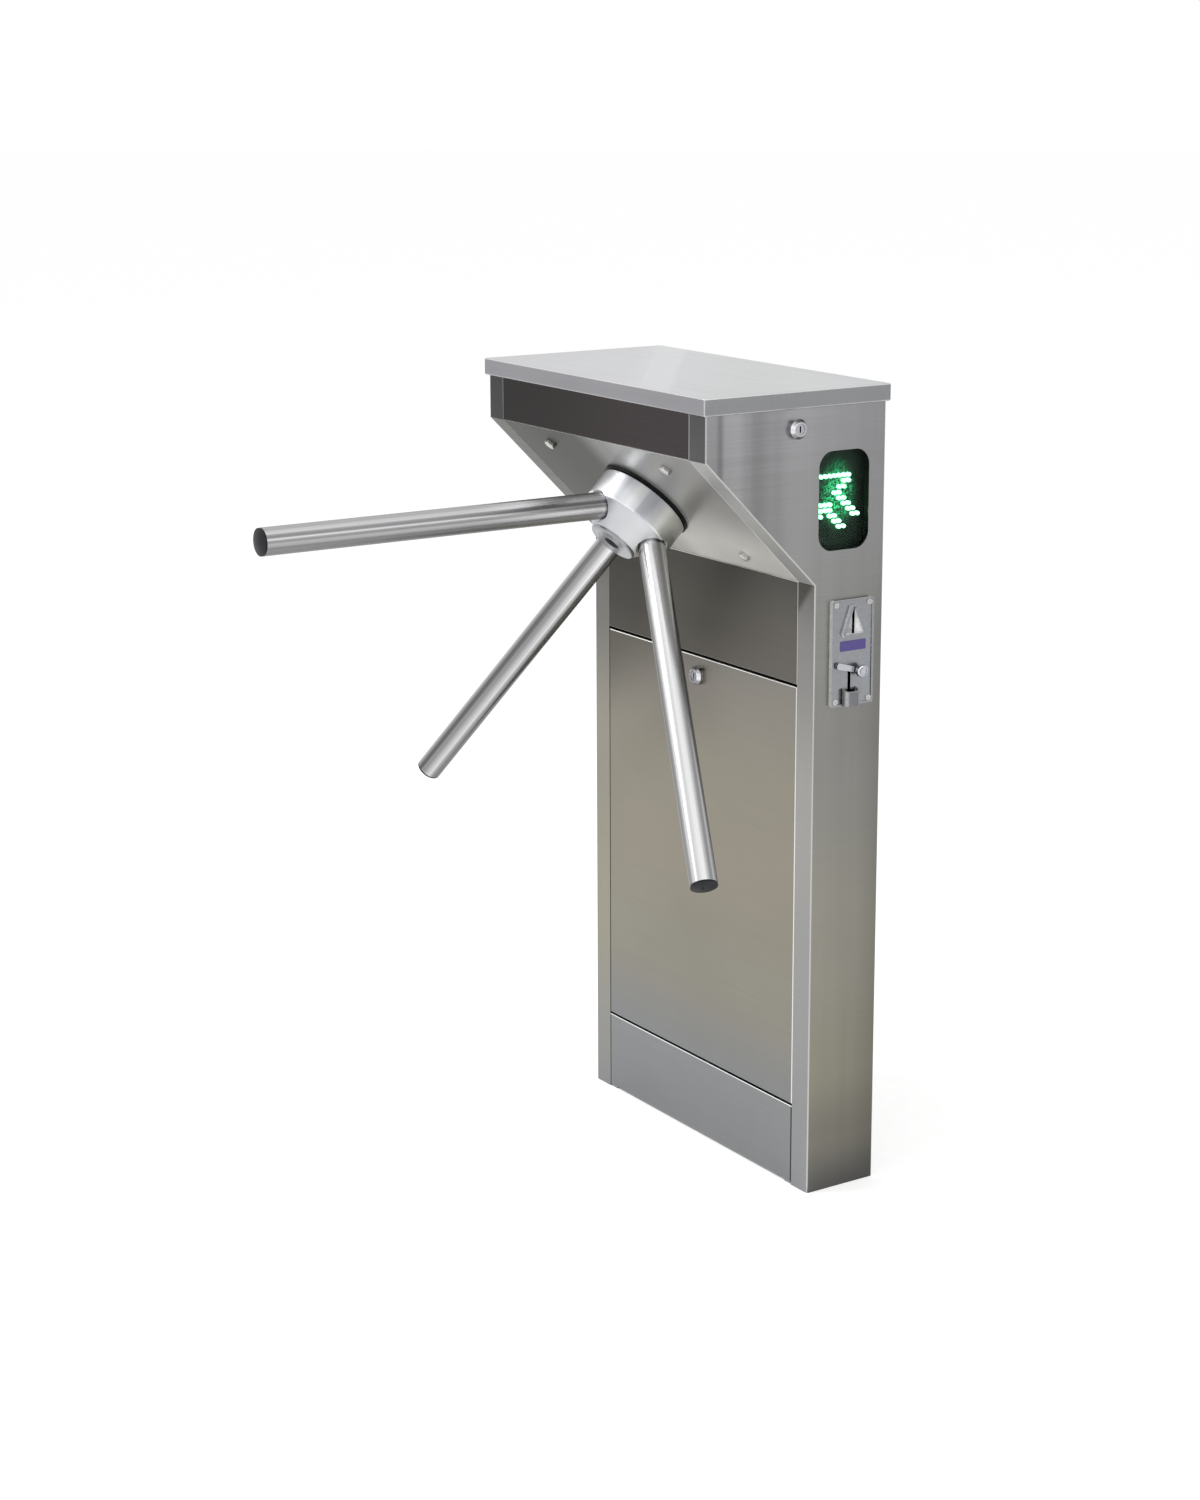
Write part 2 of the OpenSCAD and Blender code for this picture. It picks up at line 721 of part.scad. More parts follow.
module pawl() {
    translate(pivot) rotate([0, 0, -pawl_swing]) translate(-pivot) difference() {
        union() {
            translate([0, 0, wheel_mid - wheel_w / 2]) linear_extrude(wheel_w) {
                rotate(notch_angle) polygon([
                    [pawl_tip, tooth_half], [pawl_tip, -tooth_half],
                    [pawl_axis_a - lever_half, -tooth_half - 1],
                    [pawl_axis_a - lever_half, -pawl_axis_b],
                    [pawl_axis_a + lever_half + 3, -pawl_axis_b],
                    [pawl_axis_a + lever_half, 5], [pawl_axis_a - lever_half, 5]
                ]);
                translate(pivot) circle(pawl_boss_r);
            }
            translate([pivot[0], pivot[1], wheel_mid - tail_t / 2]) rotate([0, 0, pawl_swing / 2])
                linear_extrude(tail_t) {
                    translate([0, -tail_half]) square([tail_r, 2 * tail_half]);
                    translate([tail_r, 0]) circle(tail_half);
                }
        }
        translate(pivot) rod(pawl_pin_r + fit, wheel_mid - wheel_w, wheel_mid + wheel_w);
        translate([pivot[0], pivot[1], wheel_mid]) rotate([0, 0, pawl_swing / 2])
            translate([tail_r, 0, 0]) {
                for (x = [-slot_half, slot_half]) translate([x, 0, 0])
                    rod(link_r + slot_gap, -tail_t, tail_t);
                block([-slot_half, -link_r - slot_gap, -tail_t], [slot_half, link_r + slot_gap, tail_t]);
            }
    }
}
module pawl_a() color("peru") at_slant() pawl();
module pawl_b() color("peru") at_slant() mirror([1, 0, 0]) pawl();
module pawl_pins() color("gainsboro") at_slant() both_sides() translate(pivot) {
    rod(pawl_pin_r, wheel_mid - wheel_w / 2 - 3, plate_out - 1);
    rod(8, wheel_mid + wheel_w / 2 + seat, plate_in);
    rod(7.5, wheel_mid - wheel_w / 2 - 3, wheel_mid - wheel_w / 2 - seat);
}
module at_plunger() translate([plunger_x, link_y, wheel_mid]) rotate([-90, 0, 0]) children();
module plunger() at_plunger() {
    difference() {
        union() {
            rod(plunger_r, fork_top - over, fork_top + plunger_len);
            rod(9, fork_top - 2, fork_top);
            translate([-fork_half, -fork_half, -fork_low])
                cube([2 * fork_half, 2 * fork_half, fork_low + fork_top]);
        }
        translate([-fork_half - over, -tail_t / 2 - seat, -fork_low - over])
            cube([2 * (fork_half + over), tail_t + 2 * seat, fork_low + 6 + over]);
    }
    translate([0, -fork_half, 0]) rotate([-90, 0, 0]) cylinder(r = link_r, h = 2 * fork_half);
}
module plunger_a() color("gainsboro") at_slant() plunger();
module plunger_b() color("gainsboro") at_slant() mirror([1, 0, 0]) plunger();

// Helical spring: rings of a few points swept along the helix
spring_low = fork_top;
spring_high = solenoid_y - link_y;
module spring() at_plunger() let(
    steps = spring_coils * 16,
    sides = 5,
    rise = spring_high - spring_low - 2 * spring_wire - 2 * 0.1,
    points = [for (i = [0 : steps], j = [0 : sides - 1])
        let(a = 360 / 16 * i, b = 360 / sides * j, r = spring_r + spring_wire * cos(b))
        [r * cos(a), r * sin(a), spring_low + spring_wire + 0.1 + rise * i / steps + spring_wire * sin(b)]],
    walls = [for (i = [0 : steps - 1], j = [0 : sides - 1]) let(k = (j + 1) % sides)
        each [[i * sides + j, (i + 1) * sides + j, i * sides + k],
              [i * sides + k, (i + 1) * sides + j, (i + 1) * sides + k]]],
    ends = [[for (j = [0 : sides - 1]) j], [for (j = [sides - 1 : -1 : 0]) steps * sides + j]]
) polyhedron(points, concat(walls, ends));
module plunger_spring_a() color("silver") at_slant() spring();
module plunger_spring_b() color("silver") at_slant() mirror([1, 0, 0]) spring();

module at_solenoid() translate([plunger_x, solenoid_y, wheel_mid]) rotate([-90, 0, 0]) children();
module solenoid_frames() color("lightgray") at_slant() both_sides() at_solenoid() difference() {
    union() {
        for (z = [0, solenoid_len - solenoid_t])
            translate([-solenoid_half, wheel_mid - plate_in, z])
                cube([2 * solenoid_half, coil_r + 1 - (wheel_mid - plate_in), solenoid_t]);
        translate([-solenoid_half, wheel_mid - plate_in, 0])
            cube([2 * solenoid_half, solenoid_t, solenoid_len]);
    }
    rod(plunger_r + seat, -over, solenoid_t + over);
}
module solenoid_coils() color([0.5, 0.12, 0.1]) at_slant() both_sides() at_solenoid()
    tube(coil_r, plunger_r + seat, solenoid_t, solenoid_len - solenoid_t);

module sensor_places() for (a = [60, 120]) rotate([0, 0, a]) translate([sensor_ring, 0, 0]) children();
module position_sensors() color("gold") at_slant() sensor_places() {
    rod(6, rear_in - 20, gear_out - gear_t - 2);
    for (z = [rear_in - rear_t - 4, rear_in]) hexagon(17, z, z + 4);
}

// Electrical boxes

// Local X runs along +X, local Y up and local Z away from the back panel
module at_back(x, y, z) translate([x, y, z]) rotate([90, 0, 0]) children();
module controller_board() at_back(control_x, col_back - sheet_t - standoff_h, control_z) {
    color("darkgreen") cube([control_w, control_h, board_t]);
    color("silver") for (x = [standoff_in, control_w - standoff_in])
        for (y = [standoff_in, control_h - standoff_in])
            translate([x, y, 0]) rod(standoff_r, -standoff_h, board_t / 2);
    color([0.12, 0.12, 0.12]) for (chip = chips)
        translate([chip[0], chip[1], board_t / 2]) cube([chip[2], chip[3], chip_t]);
    color("green") translate([strip_in, control_h - strip_top - strip_w, board_t / 2])
        cube([control_w - 2 * strip_in, strip_w, strip_h]);
    color("navy") for (x = can_x) translate([x, can_y, board_t / 2]) rod(can_r, 0, can_h);
}
module power_supply() color("lightgray") at_back(supply_x, col_back - sheet_t, supply_z) difference() {
    cube([supply_w, supply_h, supply_d]);
    for (x = [vent_in : vent_pitch : supply_w - vent_in], y = [vent_in : vent_pitch : supply_h - vent_in])
        translate([x, y, 0]) rod(vent_r, supply_d - 2, supply_d + over);
}

// Display

module at_window(z) at_side(window_y, window_z) translate([0, 0, -sheet_t + z]) children();
housing_w = window_w + 2 * housing_border;
housing_h = window_h + 2 * housing_border;
led_base = -window_t - housing_depth + housing_wall + 3 + board_t;
module indicator_window() color([0.2, 0.3, 0.25, 0.5]) at_window(0)
    slab(housing_w, housing_h, 4, -window_t, 0);
module indicator_housing() color([0.07, 0.07, 0.07]) at_window(-window_t) difference() {
    slab(housing_w, housing_h, 4, -housing_depth, 0);
    slab(housing_w - 2 * housing_wall, housing_h - 2 * housing_wall, 3,
        -housing_depth + housing_wall, over);
}
module indicator_board() color([0.03, 0.12, 0.07]) at_window(0) {
    slab(housing_w - 2 * housing_wall - 1, housing_h - 2 * housing_wall - 1, 2,
        led_base - board_t, led_base);
    for (x = [-1, 1], y = [-1, 1]) translate([x * (window_w / 2 - 3), y * (window_h / 2 - 3), 0])
        rod(3, led_base - board_t - 3, led_base - over / 2);
}
module indicator_leds() color("lime") at_window(0) for (row = [0 : len(arrow) - 1], column = arrow[row])
    translate([led_left + column * led_pitch, led_top - row * led_pitch, led_base]) {
        cylinder(r = led_r, h = led_len - led_r, $fn = 24);
        translate([0, 0, led_len - led_r]) sphere(r = led_r, $fn = 24);
    }

// Coin plate

return_low = cup_low + cup_h - 4;
return_top = lever_z - 5;
mouth_top = cup_low + cup_h - 3;
module at_coin() at_side(coin_y, coin_z) children();
module coin_corners() for (x = [-1, 1], y = [-1, 1])
    translate([x * (coin_w / 2 - screw_side), y * (coin_h / 2 - screw_end)]) children();
module coin_faceplate() color("silver") at_coin() difference() {
    union() {
        difference() {
            slab(coin_w, coin_h, 3, 0, coin_t);
            slab(coin_w - 2 * coin_frame, coin_h - 2 * coin_frame, 1, coin_t - coin_recess, coin_t + over);
        }
        coin_corners() rod(4.2, 0, coin_t - 0.7);
        translate([0, entry_low, 0]) linear_extrude(coin_t + entry_out) polygon(entry_hood);
    }
    // Funnel on both sides of the coin slot
    translate([0, entry_low, coin_t - 1]) linear_extrude(coin_t) {
        polygon([[slot_y[0], entry_h - 3], [slot_y[0], 0], [-12.5, 0]]);
        polygon([[slot_y[1], entry_h - 8], [slot_y[1], 0], [13.5, 0]]);
    }
    block([slot_y[0], entry_low, -over], [slot_y[1], entry_low + entry_h - 1, coin_t + entry_out + over]);
    block([return_y[0], return_low, -over], [return_y[1], return_top, coin_t + over]);
    block([cup_y - cup_w / 2 + cup_wall, cup_low + cup_wall, -over],
        [cup_y + cup_w / 2 - cup_wall, mouth_top, coin_t + over]);
    coin_corners() {
        rod(2 + fit, -over, coin_t + over);
        rod(3.5, coin_t - 3, coin_t + over);
    }
    translate([lever_y, lever_z]) rod(lever_axle_r + fit, -over, coin_t + over);
}
module coin_return_cup() color("silver") at_coin() difference() {
    translate([cup_y, cup_low + cup_h / 2, 0]) slab(cup_w, cup_h, cup_r, coin_t, cup_out);
    block([cup_y - cup_w / 2 + cup_wall, cup_low + cup_wall, 0],
        [cup_y + cup_w / 2 - cup_wall, cup_low + cup_h + over, cup_out - cup_wall]);
}
module coin_plate_screws() color("gainsboro") at_coin() coin_corners() {
    rod(2, -6, coin_t - 3);
    difference() {
        rod(3.3, coin_t - 3, coin_t - 0.5);
        for (a = [0, 90]) rotate([0, 0, a]) translate([-2.2, -0.4, coin_t - 1.4]) cube([4.4, 0.8, 2]);
    }
}
module coin_acceptor() color([0.2, 0.2, 0.22]) at_coin() difference() {
    slab(coin_w - 2 * coin_side - 2 * acceptor_gap, coin_h - 2 * coin_end - 2 * acceptor_gap, 1,
        -acceptor_d, 0);
    block([slot_y[0], entry_low, -acceptor_slot], [slot_y[1], entry_low + entry_h, over]);
    block([return_y[0], return_low, -acceptor_slot], [return_y[1], return_top, over]);
    block([cup_y - mouth_half, cup_low + cup_wall + mouth_in, -acceptor_slot],
        [cup_y + mouth_half, mouth_top, over]);
    for (z = hatches)
        block([-hatch_half, z[0], -acceptor_d - over], [hatch_half, z[1], -acceptor_d + hatch_depth]);
    translate([lever_y, lever_z]) rod(lever_axle_r + seat, -8, over);
}
module coin_return_lever() color("gainsboro") at_coin() translate([lever_y, lever_z]) {
    rod(lever_axle_r, -4, coin_t + 2);
    rotate([0, 0, lever_tilt]) {
        rod(lever_axle_r + 1, coin_t + seat, coin_t + 3.5);
        translate([0, 0, coin_t + 1]) linear_extrude(2.5) polygon([
            [0, -lever_axle_r - 1], [lever_r, -lever_axle_r], [lever_r, lever_axle_r], [0, lever_axle_r + 1]
        ]);
        translate([lever_r, 0]) difference() {
            union() {
                rod(5, coin_t + 1, coin_t + 5.5);
                soft_disc(knob_r, 1.5, coin_t + 5, coin_t + 11);
            }
            tube(knob_r - 2, knob_r - 3.5, coin_t + 10.2, coin_t + 11);
        }
    }
}
module coin_chute() color("lightgray") difference() {
    block([chute_x[0], chute_y[0], box_z[1] - 6],
        [chute_x[1], chute_y[1], coin_z - coin_h / 2 + coin_end + acceptor_gap]);
    block([chute_x[0] + box_wall, chute_y[0] + box_wall, box_z[1] - 7],
        [chute_x[1] - box_wall, chute_y[1] - box_wall, coin_z]);
}
module coin_box() color("gray") difference() {
    block([box_x[0], box_y[0] + 2, box_z[0]], [box_x[1], box_y[1] - 2, box_z[1]]);
    block([box_x[0] + box_wall, box_y[0] + 2 + box_wall, box_z[0] + box_wall],
        [box_x[1] - box_wall, box_y[1] - 2 - box_wall, box_z[1] + over]);
}

// Locks: local Z points out of the face, with the face at zero

module lock_barrel() difference() {
    union() {
        rod(lock_body_d / 2, -lock_len + 10, over);
        rotate_extrude() polygon([[0, 0], [lock_d / 2, 0], [lock_d / 2, 5], [lock_d / 2 - 3.5, 9], [0, 9]]);
        hexagon(24, -sheet_t - 6, -sheet_t);
    }
    rod(6 + fit, -lock_len, 10);
}
// The cam starts at angle a and the plug fills the barrel's bore
module lock_plug(a, length) {
    difference() {
        rod(6, -cam_in - cam_t, 8);
        block([-1, -4, 3], [1, 4, 9]);
    }
    rotate([0, 0, a]) translate([0, 0, -cam_in - cam_t]) linear_extrude(cam_t) {
        translate([0, -cam_w / 2]) square([length - cam_w / 2, cam_w]);
        translate([length - cam_w / 2, 0]) circle(cam_w / 2);
        circle(7);
    }
    rod(4, -cam_in - cam_t - 4, -cam_in);
}
module lid_lock_barrel() color("gainsboro") at_side(lid_lock_y, lid_lock_z) lock_barrel();
module lid_lock_plug() color("silver") at_side(lid_lock_y, lid_lock_z) lock_plug(90, cam_len);
module door_lock_barrel() color("gainsboro") at_front(0, door_lock_z) lock_barrel();
module door_lock_plug() color("silver") at_front(0, door_lock_z) lock_plug(0, door_cam_len);

// Lid: a pan with hinge tabs at the left, and the catch that its lock's cam turns over

catch_x = half_w - cam_in - cam_t;
catch_top = lid_lock_z - cam_w / 2 - seat;
module lid() color("gainsboro") {
    difference() {
        block([-half_w - lid_over, head_front - lid_front_over, lid_low],
            [half_w + lid_over, col_back + lid_over, total_h]);
        block([-half_w - lid_over + sheet_t, head_front - lid_front_over + sheet_t, lid_low - over],
            [half_w + lid_over - sheet_t, col_back + lid_over - sheet_t, total_h - sheet_t]);
    }
    for (y = tab_y) translate([-half_w - lid_over + over, y - tab_w / 2, lid_low])
        cube([lid_over + sheet_t + tab_in - over, tab_w, tab_t]);
}
// Bent strip under the lid, open towards the middle of the cabinet
module lid_catch() color("silver") {
    block([catch_x + catch_half - catch_t, catch_y, catch_top - catch_t],
        [catch_x + catch_half, catch_y + catch_w, total_h - sheet_t]);
    for (z = [catch_top, total_h - sheet_t])
        block([catch_x - catch_half, catch_y, z - catch_t], [catch_x + catch_half, catch_y + catch_w, z]);
}

// Door: a pan with bent edges and two hooks over the plinth's pins

module door() color("darkkhaki") difference() {
    union() {
        difference() {
            block([-door_half, col_front, door_low], [door_half, col_front + door_depth, door_top]);
            block([-door_half + sheet_t, col_front + sheet_t, door_low + sheet_t],
                [door_half - sheet_t, col_front + door_depth + over, door_top - sheet_t]);
        }
        for (x = hook_x) along_x(x - hook_t / 2, x + hook_t / 2) {
            translate([col_front + door_depth - 3, door_low])
                square([pin_y - col_front - door_depth + 3, 12]);
            translate([pin_y, pin_z]) circle(6);
        }
    }
    for (x = hook_x) along_x(x - hook_t, x + hook_t) {
        translate([pin_y, pin_z]) circle(pin_r + fit);
        translate([pin_y - pin_r - fit, pin_z - 10]) square([2 * (pin_r + fit), 10]);
    }
    at_front(0, door_lock_z) rod(lock_body_d / 2 + fit, -2 * sheet_t, over);
}

base_plate();
left_side_shell();
right_side_shell();
back_panel();
band_panel();
slant_panel();
upper_panel();
plinth_panel();
slant_bolts();
neck_collar();
mechanism_plate();
rear_plate();
spacer_pillars();
bearing_outer_rings();
bearing_balls();
damper_body();
solenoid_frames();
solenoid_coils();
pawl_pins();
position_sensors();
controller_board();
power_supply();
indicator_window();
indicator_housing();
indicator_board();
indicator_leds();
coin_faceplate();
coin_return_cup();
coin_plate_screws();
coin_acceptor();
coin_chute();
coin_box();
lid_lock_barrel();
hub();
hub_cap();
arm(0);  // arm_barrier
arm(1);  // arm_left
arm(2);  // arm_right
arm_end_caps();
shaft();
hub_screws();
locking_wheel();
main_gear();
shaft_nut();
bearing_inner_rings();
damper_pinion();
pawl_a();
pawl_b();
plunger_a();
plunger_b();
plunger_spring_a();
plunger_spring_b();
lid();
lid_catch();
lid_lock_plug();
door();
door_lock_barrel();
door_lock_plug();
coin_return_lever();
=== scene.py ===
"""Looks of the tripod turnstile: rounded sheet edges, brushed and polished steel, the lit display and the
coin plate. Lengths are in metres. +Z is up, -Y faces the passage and +X is the side with the coin plate."""

import json
import math

import bmesh
import bpy
from mathutils import Matrix, Vector

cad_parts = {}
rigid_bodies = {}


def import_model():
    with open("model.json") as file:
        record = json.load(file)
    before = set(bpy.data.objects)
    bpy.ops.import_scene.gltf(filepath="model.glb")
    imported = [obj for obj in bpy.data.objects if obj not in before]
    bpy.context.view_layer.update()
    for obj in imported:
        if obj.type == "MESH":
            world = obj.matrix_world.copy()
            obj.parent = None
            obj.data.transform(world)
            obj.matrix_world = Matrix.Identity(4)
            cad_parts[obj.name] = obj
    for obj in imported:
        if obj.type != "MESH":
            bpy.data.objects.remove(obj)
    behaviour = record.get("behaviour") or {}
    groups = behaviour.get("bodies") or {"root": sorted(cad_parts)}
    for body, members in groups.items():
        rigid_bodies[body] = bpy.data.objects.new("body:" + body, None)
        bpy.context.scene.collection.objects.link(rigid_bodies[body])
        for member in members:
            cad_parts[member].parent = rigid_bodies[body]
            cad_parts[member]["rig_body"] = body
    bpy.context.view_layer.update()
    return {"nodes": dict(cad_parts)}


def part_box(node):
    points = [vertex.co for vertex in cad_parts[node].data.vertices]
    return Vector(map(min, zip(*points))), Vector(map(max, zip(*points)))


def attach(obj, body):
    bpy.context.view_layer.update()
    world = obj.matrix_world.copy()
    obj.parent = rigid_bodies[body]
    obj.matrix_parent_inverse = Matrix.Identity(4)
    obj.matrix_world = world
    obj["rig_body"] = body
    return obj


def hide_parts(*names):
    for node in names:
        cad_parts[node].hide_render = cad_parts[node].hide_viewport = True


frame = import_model()

# Places of the cabinet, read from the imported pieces
SHELL_LOW, SHELL_HIGH = (Vector(corner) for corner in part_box("right_side_shell"))
LID_LOW, LID_HIGH = (Vector(corner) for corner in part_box("lid"))
SIDE_X = SHELL_HIGH.x
HEAD_FRONT = SHELL_LOW.y
COLUMN_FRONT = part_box("upper_panel")[0][1]
COLUMN_BACK = SHELL_HIGH.y
FLANGE_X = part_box("slant_panel")[1][0]
PLATE_LOW, PLATE_HIGH = (Vector(corner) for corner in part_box("coin_faceplate"))
PLATE_CENTRE, PLATE_HALF = (PLATE_LOW + PLATE_HIGH) / 2, (PLATE_HIGH - PLATE_LOW) / 2
PLATE_RIM = 0.0055  # how far the coin plate's rim stands out from the side face
SLOT_DEPTH = 0.0034  # what lies less than this far in front of the plate's back belongs to its slots
SLOT_MARGIN = 0.005  # the slots keep this far from the plate's sides
HUB_RIM = (0.040, 0.060)  # height and radius of the circle where the hub's flank meets its cone

LONG = 0.05  # shortest edge that counts as a fold
NEAR = 1e-5  # places closer than this are the same
FLUSH = 3e-5  # the same for the cabinet's front and back faces, one of which slants
ROUND = 2e-4  # the same for the hub's circle, which is made of short straight edges

# Share of its range that a noise texture fills
NOISE_SPAN = (0.3, 0.7)

# Tripod axis, and the directions of the arms from their common apex
AXIS_OUT = Vector((0, -1, -1)).normalized()
UP_SLOPE = Vector((0, -1, 1)).normalized()
SLANT_OUT = max(vertex.co.dot(AXIS_OUT) for vertex in frame["nodes"]["slant_panel"].data.vertices)
HUB_SEAT = Vector((0, -0.130, 0.846))
APEX = HUB_SEAT + AXIS_OUT * 0.004

# For each arm: its angle, how much lighter its foot is painted, its roughness, the direction across it, and its
# painted reflection streaks as (share of the width, tone), counted from the side that the direction points to
ARMS = {
    "arm_barrier": (0, 1.8, 0.24, (-0.33, 0, 0.944), (
        (0.0, 122), (0.04, 146), (0.10, 174), (0.18, 180), (0.25, 204), (0.32, 214), (0.37, 160),
        (0.43, 112), (0.48, 108), (0.53, 160), (0.58, 128), (0.62, 134), (0.68, 176),
        (0.76, 166), (0.82, 134), (0.90, 144), (0.96, 134), (1.0, 120),
    )),
    "arm_left": (120, 1.3, 0.10, (-0.563, -0.528, 0.635), (
        (0.0, 190), (0.04, 184), (0.12, 146), (0.21, 104), (0.29, 116), (0.37, 138), (0.46, 142),
        (0.54, 168), (0.62, 194), (0.71, 214), (0.79, 166), (0.87, 140), (0.96, 116), (1.0, 100),
    )),
    "arm_right": (-120, 1.1, 0.20, (-0.514, -0.846, -0.137), (
        (0.0, 100), (0.03, 116), (0.10, 160), (0.16, 216), (0.23, 176), (0.29, 188), (0.35, 196),
        (0.42, 224), (0.48, 240), (0.55, 240), (0.61, 226), (0.68, 192), (0.74, 148), (0.81, 138),
        (0.87, 178), (0.94, 134), (1.0, 98),
    )),
}
HUB_SHEEN = (-0.577, -0.577, 0.577)


def srgb(red, green, blue):
    """Linear colour of an sRGB tone given from 0 to 255."""
    def channel(value):
        value /= 255
        return value / 12.92 if value <= 0.04045 else ((value + 0.055) / 1.055) ** 2.4
    return channel(red), channel(green), channel(blue), 1.0


def grey(factor):
    """Linear grey that scales another colour."""
    return factor, factor, factor, 1.0


# Shader helpers

class Surface:
    """A material under construction, with short ways to add and join its nodes."""

    def __init__(self, name):
        self.material = bpy.data.materials.new(name)
        self.material.use_nodes = True
        self.tree = self.material.node_tree
        self.shader = self.tree.nodes["Principled BSDF"]
        self.place = self.add("ShaderNodeTexCoord")

    def add(self, kind, **settings):
        node = self.tree.nodes.new(kind)
        for key, value in settings.items():
            setattr(node, key, value)
        return node

    def join(self, output, target):
        self.tree.links.new(output, target)

    def fixed(self, **values):
        """Sets values on the shader's own sockets, with underscores for the spaces in their names."""
        for key, value in values.items():
            self.shader.inputs[key.replace("_", " ")].default_value = value

    def driven(self, **outputs):
        """Joins outputs to the shader's own sockets, which are named in the same way."""
        for key, output in outputs.items():
            self.join(output, self.shader.inputs[key.replace("_", " ")])

    def stretched(self, scale, turn=(0, 0, 0), centre=(0, 0, 0)):
        """Object coordinates about a centre, turned and scaled."""
        shift = self.add("ShaderNodeMapping", vector_type="POINT")
        shift.inputs["Location"].default_value = [-value for value in centre]
        mapping = self.add("ShaderNodeMapping", vector_type="TEXTURE")
        mapping.inputs["Rotation"].default_value = turn
        mapping.inputs["Scale"].default_value = [1 / value for value in scale]
        self.join(self.place.outputs["Object"], shift.inputs["Vector"])
        self.join(shift.outputs["Vector"], mapping.inputs["Vector"])
        return mapping.outputs["Vector"]

    def noise(self, vector, detail=3, roughness=0.55):
        node = self.add("ShaderNodeTexNoise")
        node.inputs["Scale"].default_value = 1
        node.inputs["Detail"].default_value = detail
        node.inputs["Roughness"].default_value = roughness
        self.join(vector, node.inputs["Vector"])
        return node.outputs["Fac"]

    def spread(self, value, low, high, out_low, out_high, smooth=False):
        """Maps a value from one span to another, and clamps it there."""
        node = self.add("ShaderNodeMapRange", interpolation_type="SMOOTHSTEP" if smooth else "LINEAR")
        for key, number in zip(("From Min", "From Max", "To Min", "To Max"), (low, high, out_low, out_high)):
            node.inputs[key].default_value = number
        self.join(value, node.inputs["Value"])
        return node.outputs["Result"]

    def varied(self, noise, out_low, out_high):
        """Maps what a noise fills to another span."""
        return self.spread(noise, *NOISE_SPAN, out_low, out_high)

    def mottled(self, noise, dark, light):
        """Colours between two sRGB tones, as a noise goes."""
        return self.ramp(noise, list(zip(NOISE_SPAN, (srgb(*dark), srgb(*light)))))

    def maths(self, operation, first, second):
        node = self.add("ShaderNodeMath", operation=operation)
        for socket, value in zip(node.inputs, (first, second)):
            if isinstance(value, (int, float)):
                socket.default_value = value
            else:
                self.join(value, socket)
        return node.outputs["Value"]

    def ramp(self, value, stops):
        """Colour ramp through (position, colour) stops, with the positions in the value's own units."""
        low, high = stops[0][0], stops[-1][0]
        node = self.add("ShaderNodeValToRGB")
        node.color_ramp.interpolation = "EASE"
        elements = node.color_ramp.elements
        while len(elements) < len(stops):
            elements.new(0.5)
        for element, (position, colour) in zip(elements, stops):
            element.position = (position - low) / (high - low)
            element.color = colour
        self.join(self.spread(value, low, high, 0, 1), node.inputs["Fac"])
        return node.outputs["Color"]

    def mix(self, first, second, amount, blend="MIX"):
        node = self.add("ShaderNodeMix", data_type="RGBA", blend_type=blend)
        for socket, value in zip((node.inputs[0], node.inputs[6], node.inputs[7]), (amount, first, second)):
            if hasattr(value, "is_output"):
                self.join(value, socket)
            else:
                socket.default_value = value
        return node.outputs[2]

    def component(self, vector, index):
        node = self.add("ShaderNodeSeparateXYZ")
        self.join(vector, node.inputs["Vector"])
        return node.outputs[index]

    def axis(self, index, source="Object"):
        return self.component(self.place.outputs[source], index)

    def length(self, vector):
        node = self.add("ShaderNodeVectorMath", operation="LENGTH")
        self.join(vector, node.inputs[0])
        return node.outputs["Value"]

    def along(self, direction, source="Normal"):
        """How far the surface's normal, or its place, lies along a direction of the object."""
        node = self.add("ShaderNodeVectorMath", operation="DOT_PRODUCT")
        self.join(self.place.outputs[source], node.inputs[0])
        node.inputs[1].default_value = direction
        return node.outputs["Value"]

    def crest(self, faces):
        """From 0 on flat sheets, which face one of the directions, up to about 0.3 on a rounded edge."""
        nearest = 0.0
        for direction in faces:
            leaning = self.maths("ABSOLUTE", self.along(direction), 0.0)
            nearest = self.maths("MAXIMUM", leaning, nearest)
        return self.maths("SUBTRACT", 1.0, nearest)

    def scaled_by(self, colour, factor):
        """Colour times a grey factor."""
        shade = self.add("ShaderNodeCombineColor")
        for socket in shade.inputs[:3]:
            self.join(factor, socket)
        return self.mix(colour, shade.outputs["Color"], 1.0, "MULTIPLY")

    def bump(self, height, distance, strength=0.3):
        node = self.add("ShaderNodeBump")
        node.inputs["Strength"].default_value = strength
        node.inputs["Distance"].default_value = distance
        self.join(height, node.inputs["Height"])
        self.join(node.outputs["Normal"], self.shader.inputs["Normal"])


FACES = ((1, 0, 0), (0, 1, 0), (0, 0, 1), tuple(AXIS_OUT))


def brushed(surface, colour, grain=(3, 3, 900), roughness=0.34, contrast=0.10, metallic=1.0, edge=218,
            relief=0.00003, spread=0.06):
    """Finishes a steel surface: a fine directional grain in its tone, roughness and relief, over soft clouds.
    The rounded edges get a painted highlight."""
    painted_highlight = surface.spread(surface.crest(FACES), 0.015, 0.16, 0, 0.9)
    colour = surface.mix(colour, srgb(edge, edge, edge - 2), painted_highlight)
    fine = surface.noise(surface.stretched(grain), detail=4, roughness=0.65)
    clouds = surface.noise(surface.stretched((5, 5, 5)), detail=2)
    tone = surface.maths("ADD", surface.varied(fine, -contrast / 2, contrast / 2),
                         surface.varied(clouds, 0.965, 1.035))
    surface.driven(Base_Color=surface.scaled_by(colour, tone),
                   Roughness=surface.varied(fine, roughness - spread, roughness + spread))
    surface.fixed(Metallic=metallic)
    surface.bump(fine, relief)
    return surface.material


# Steel of the cabinet: the tones follow the room that the flat sheets reflect

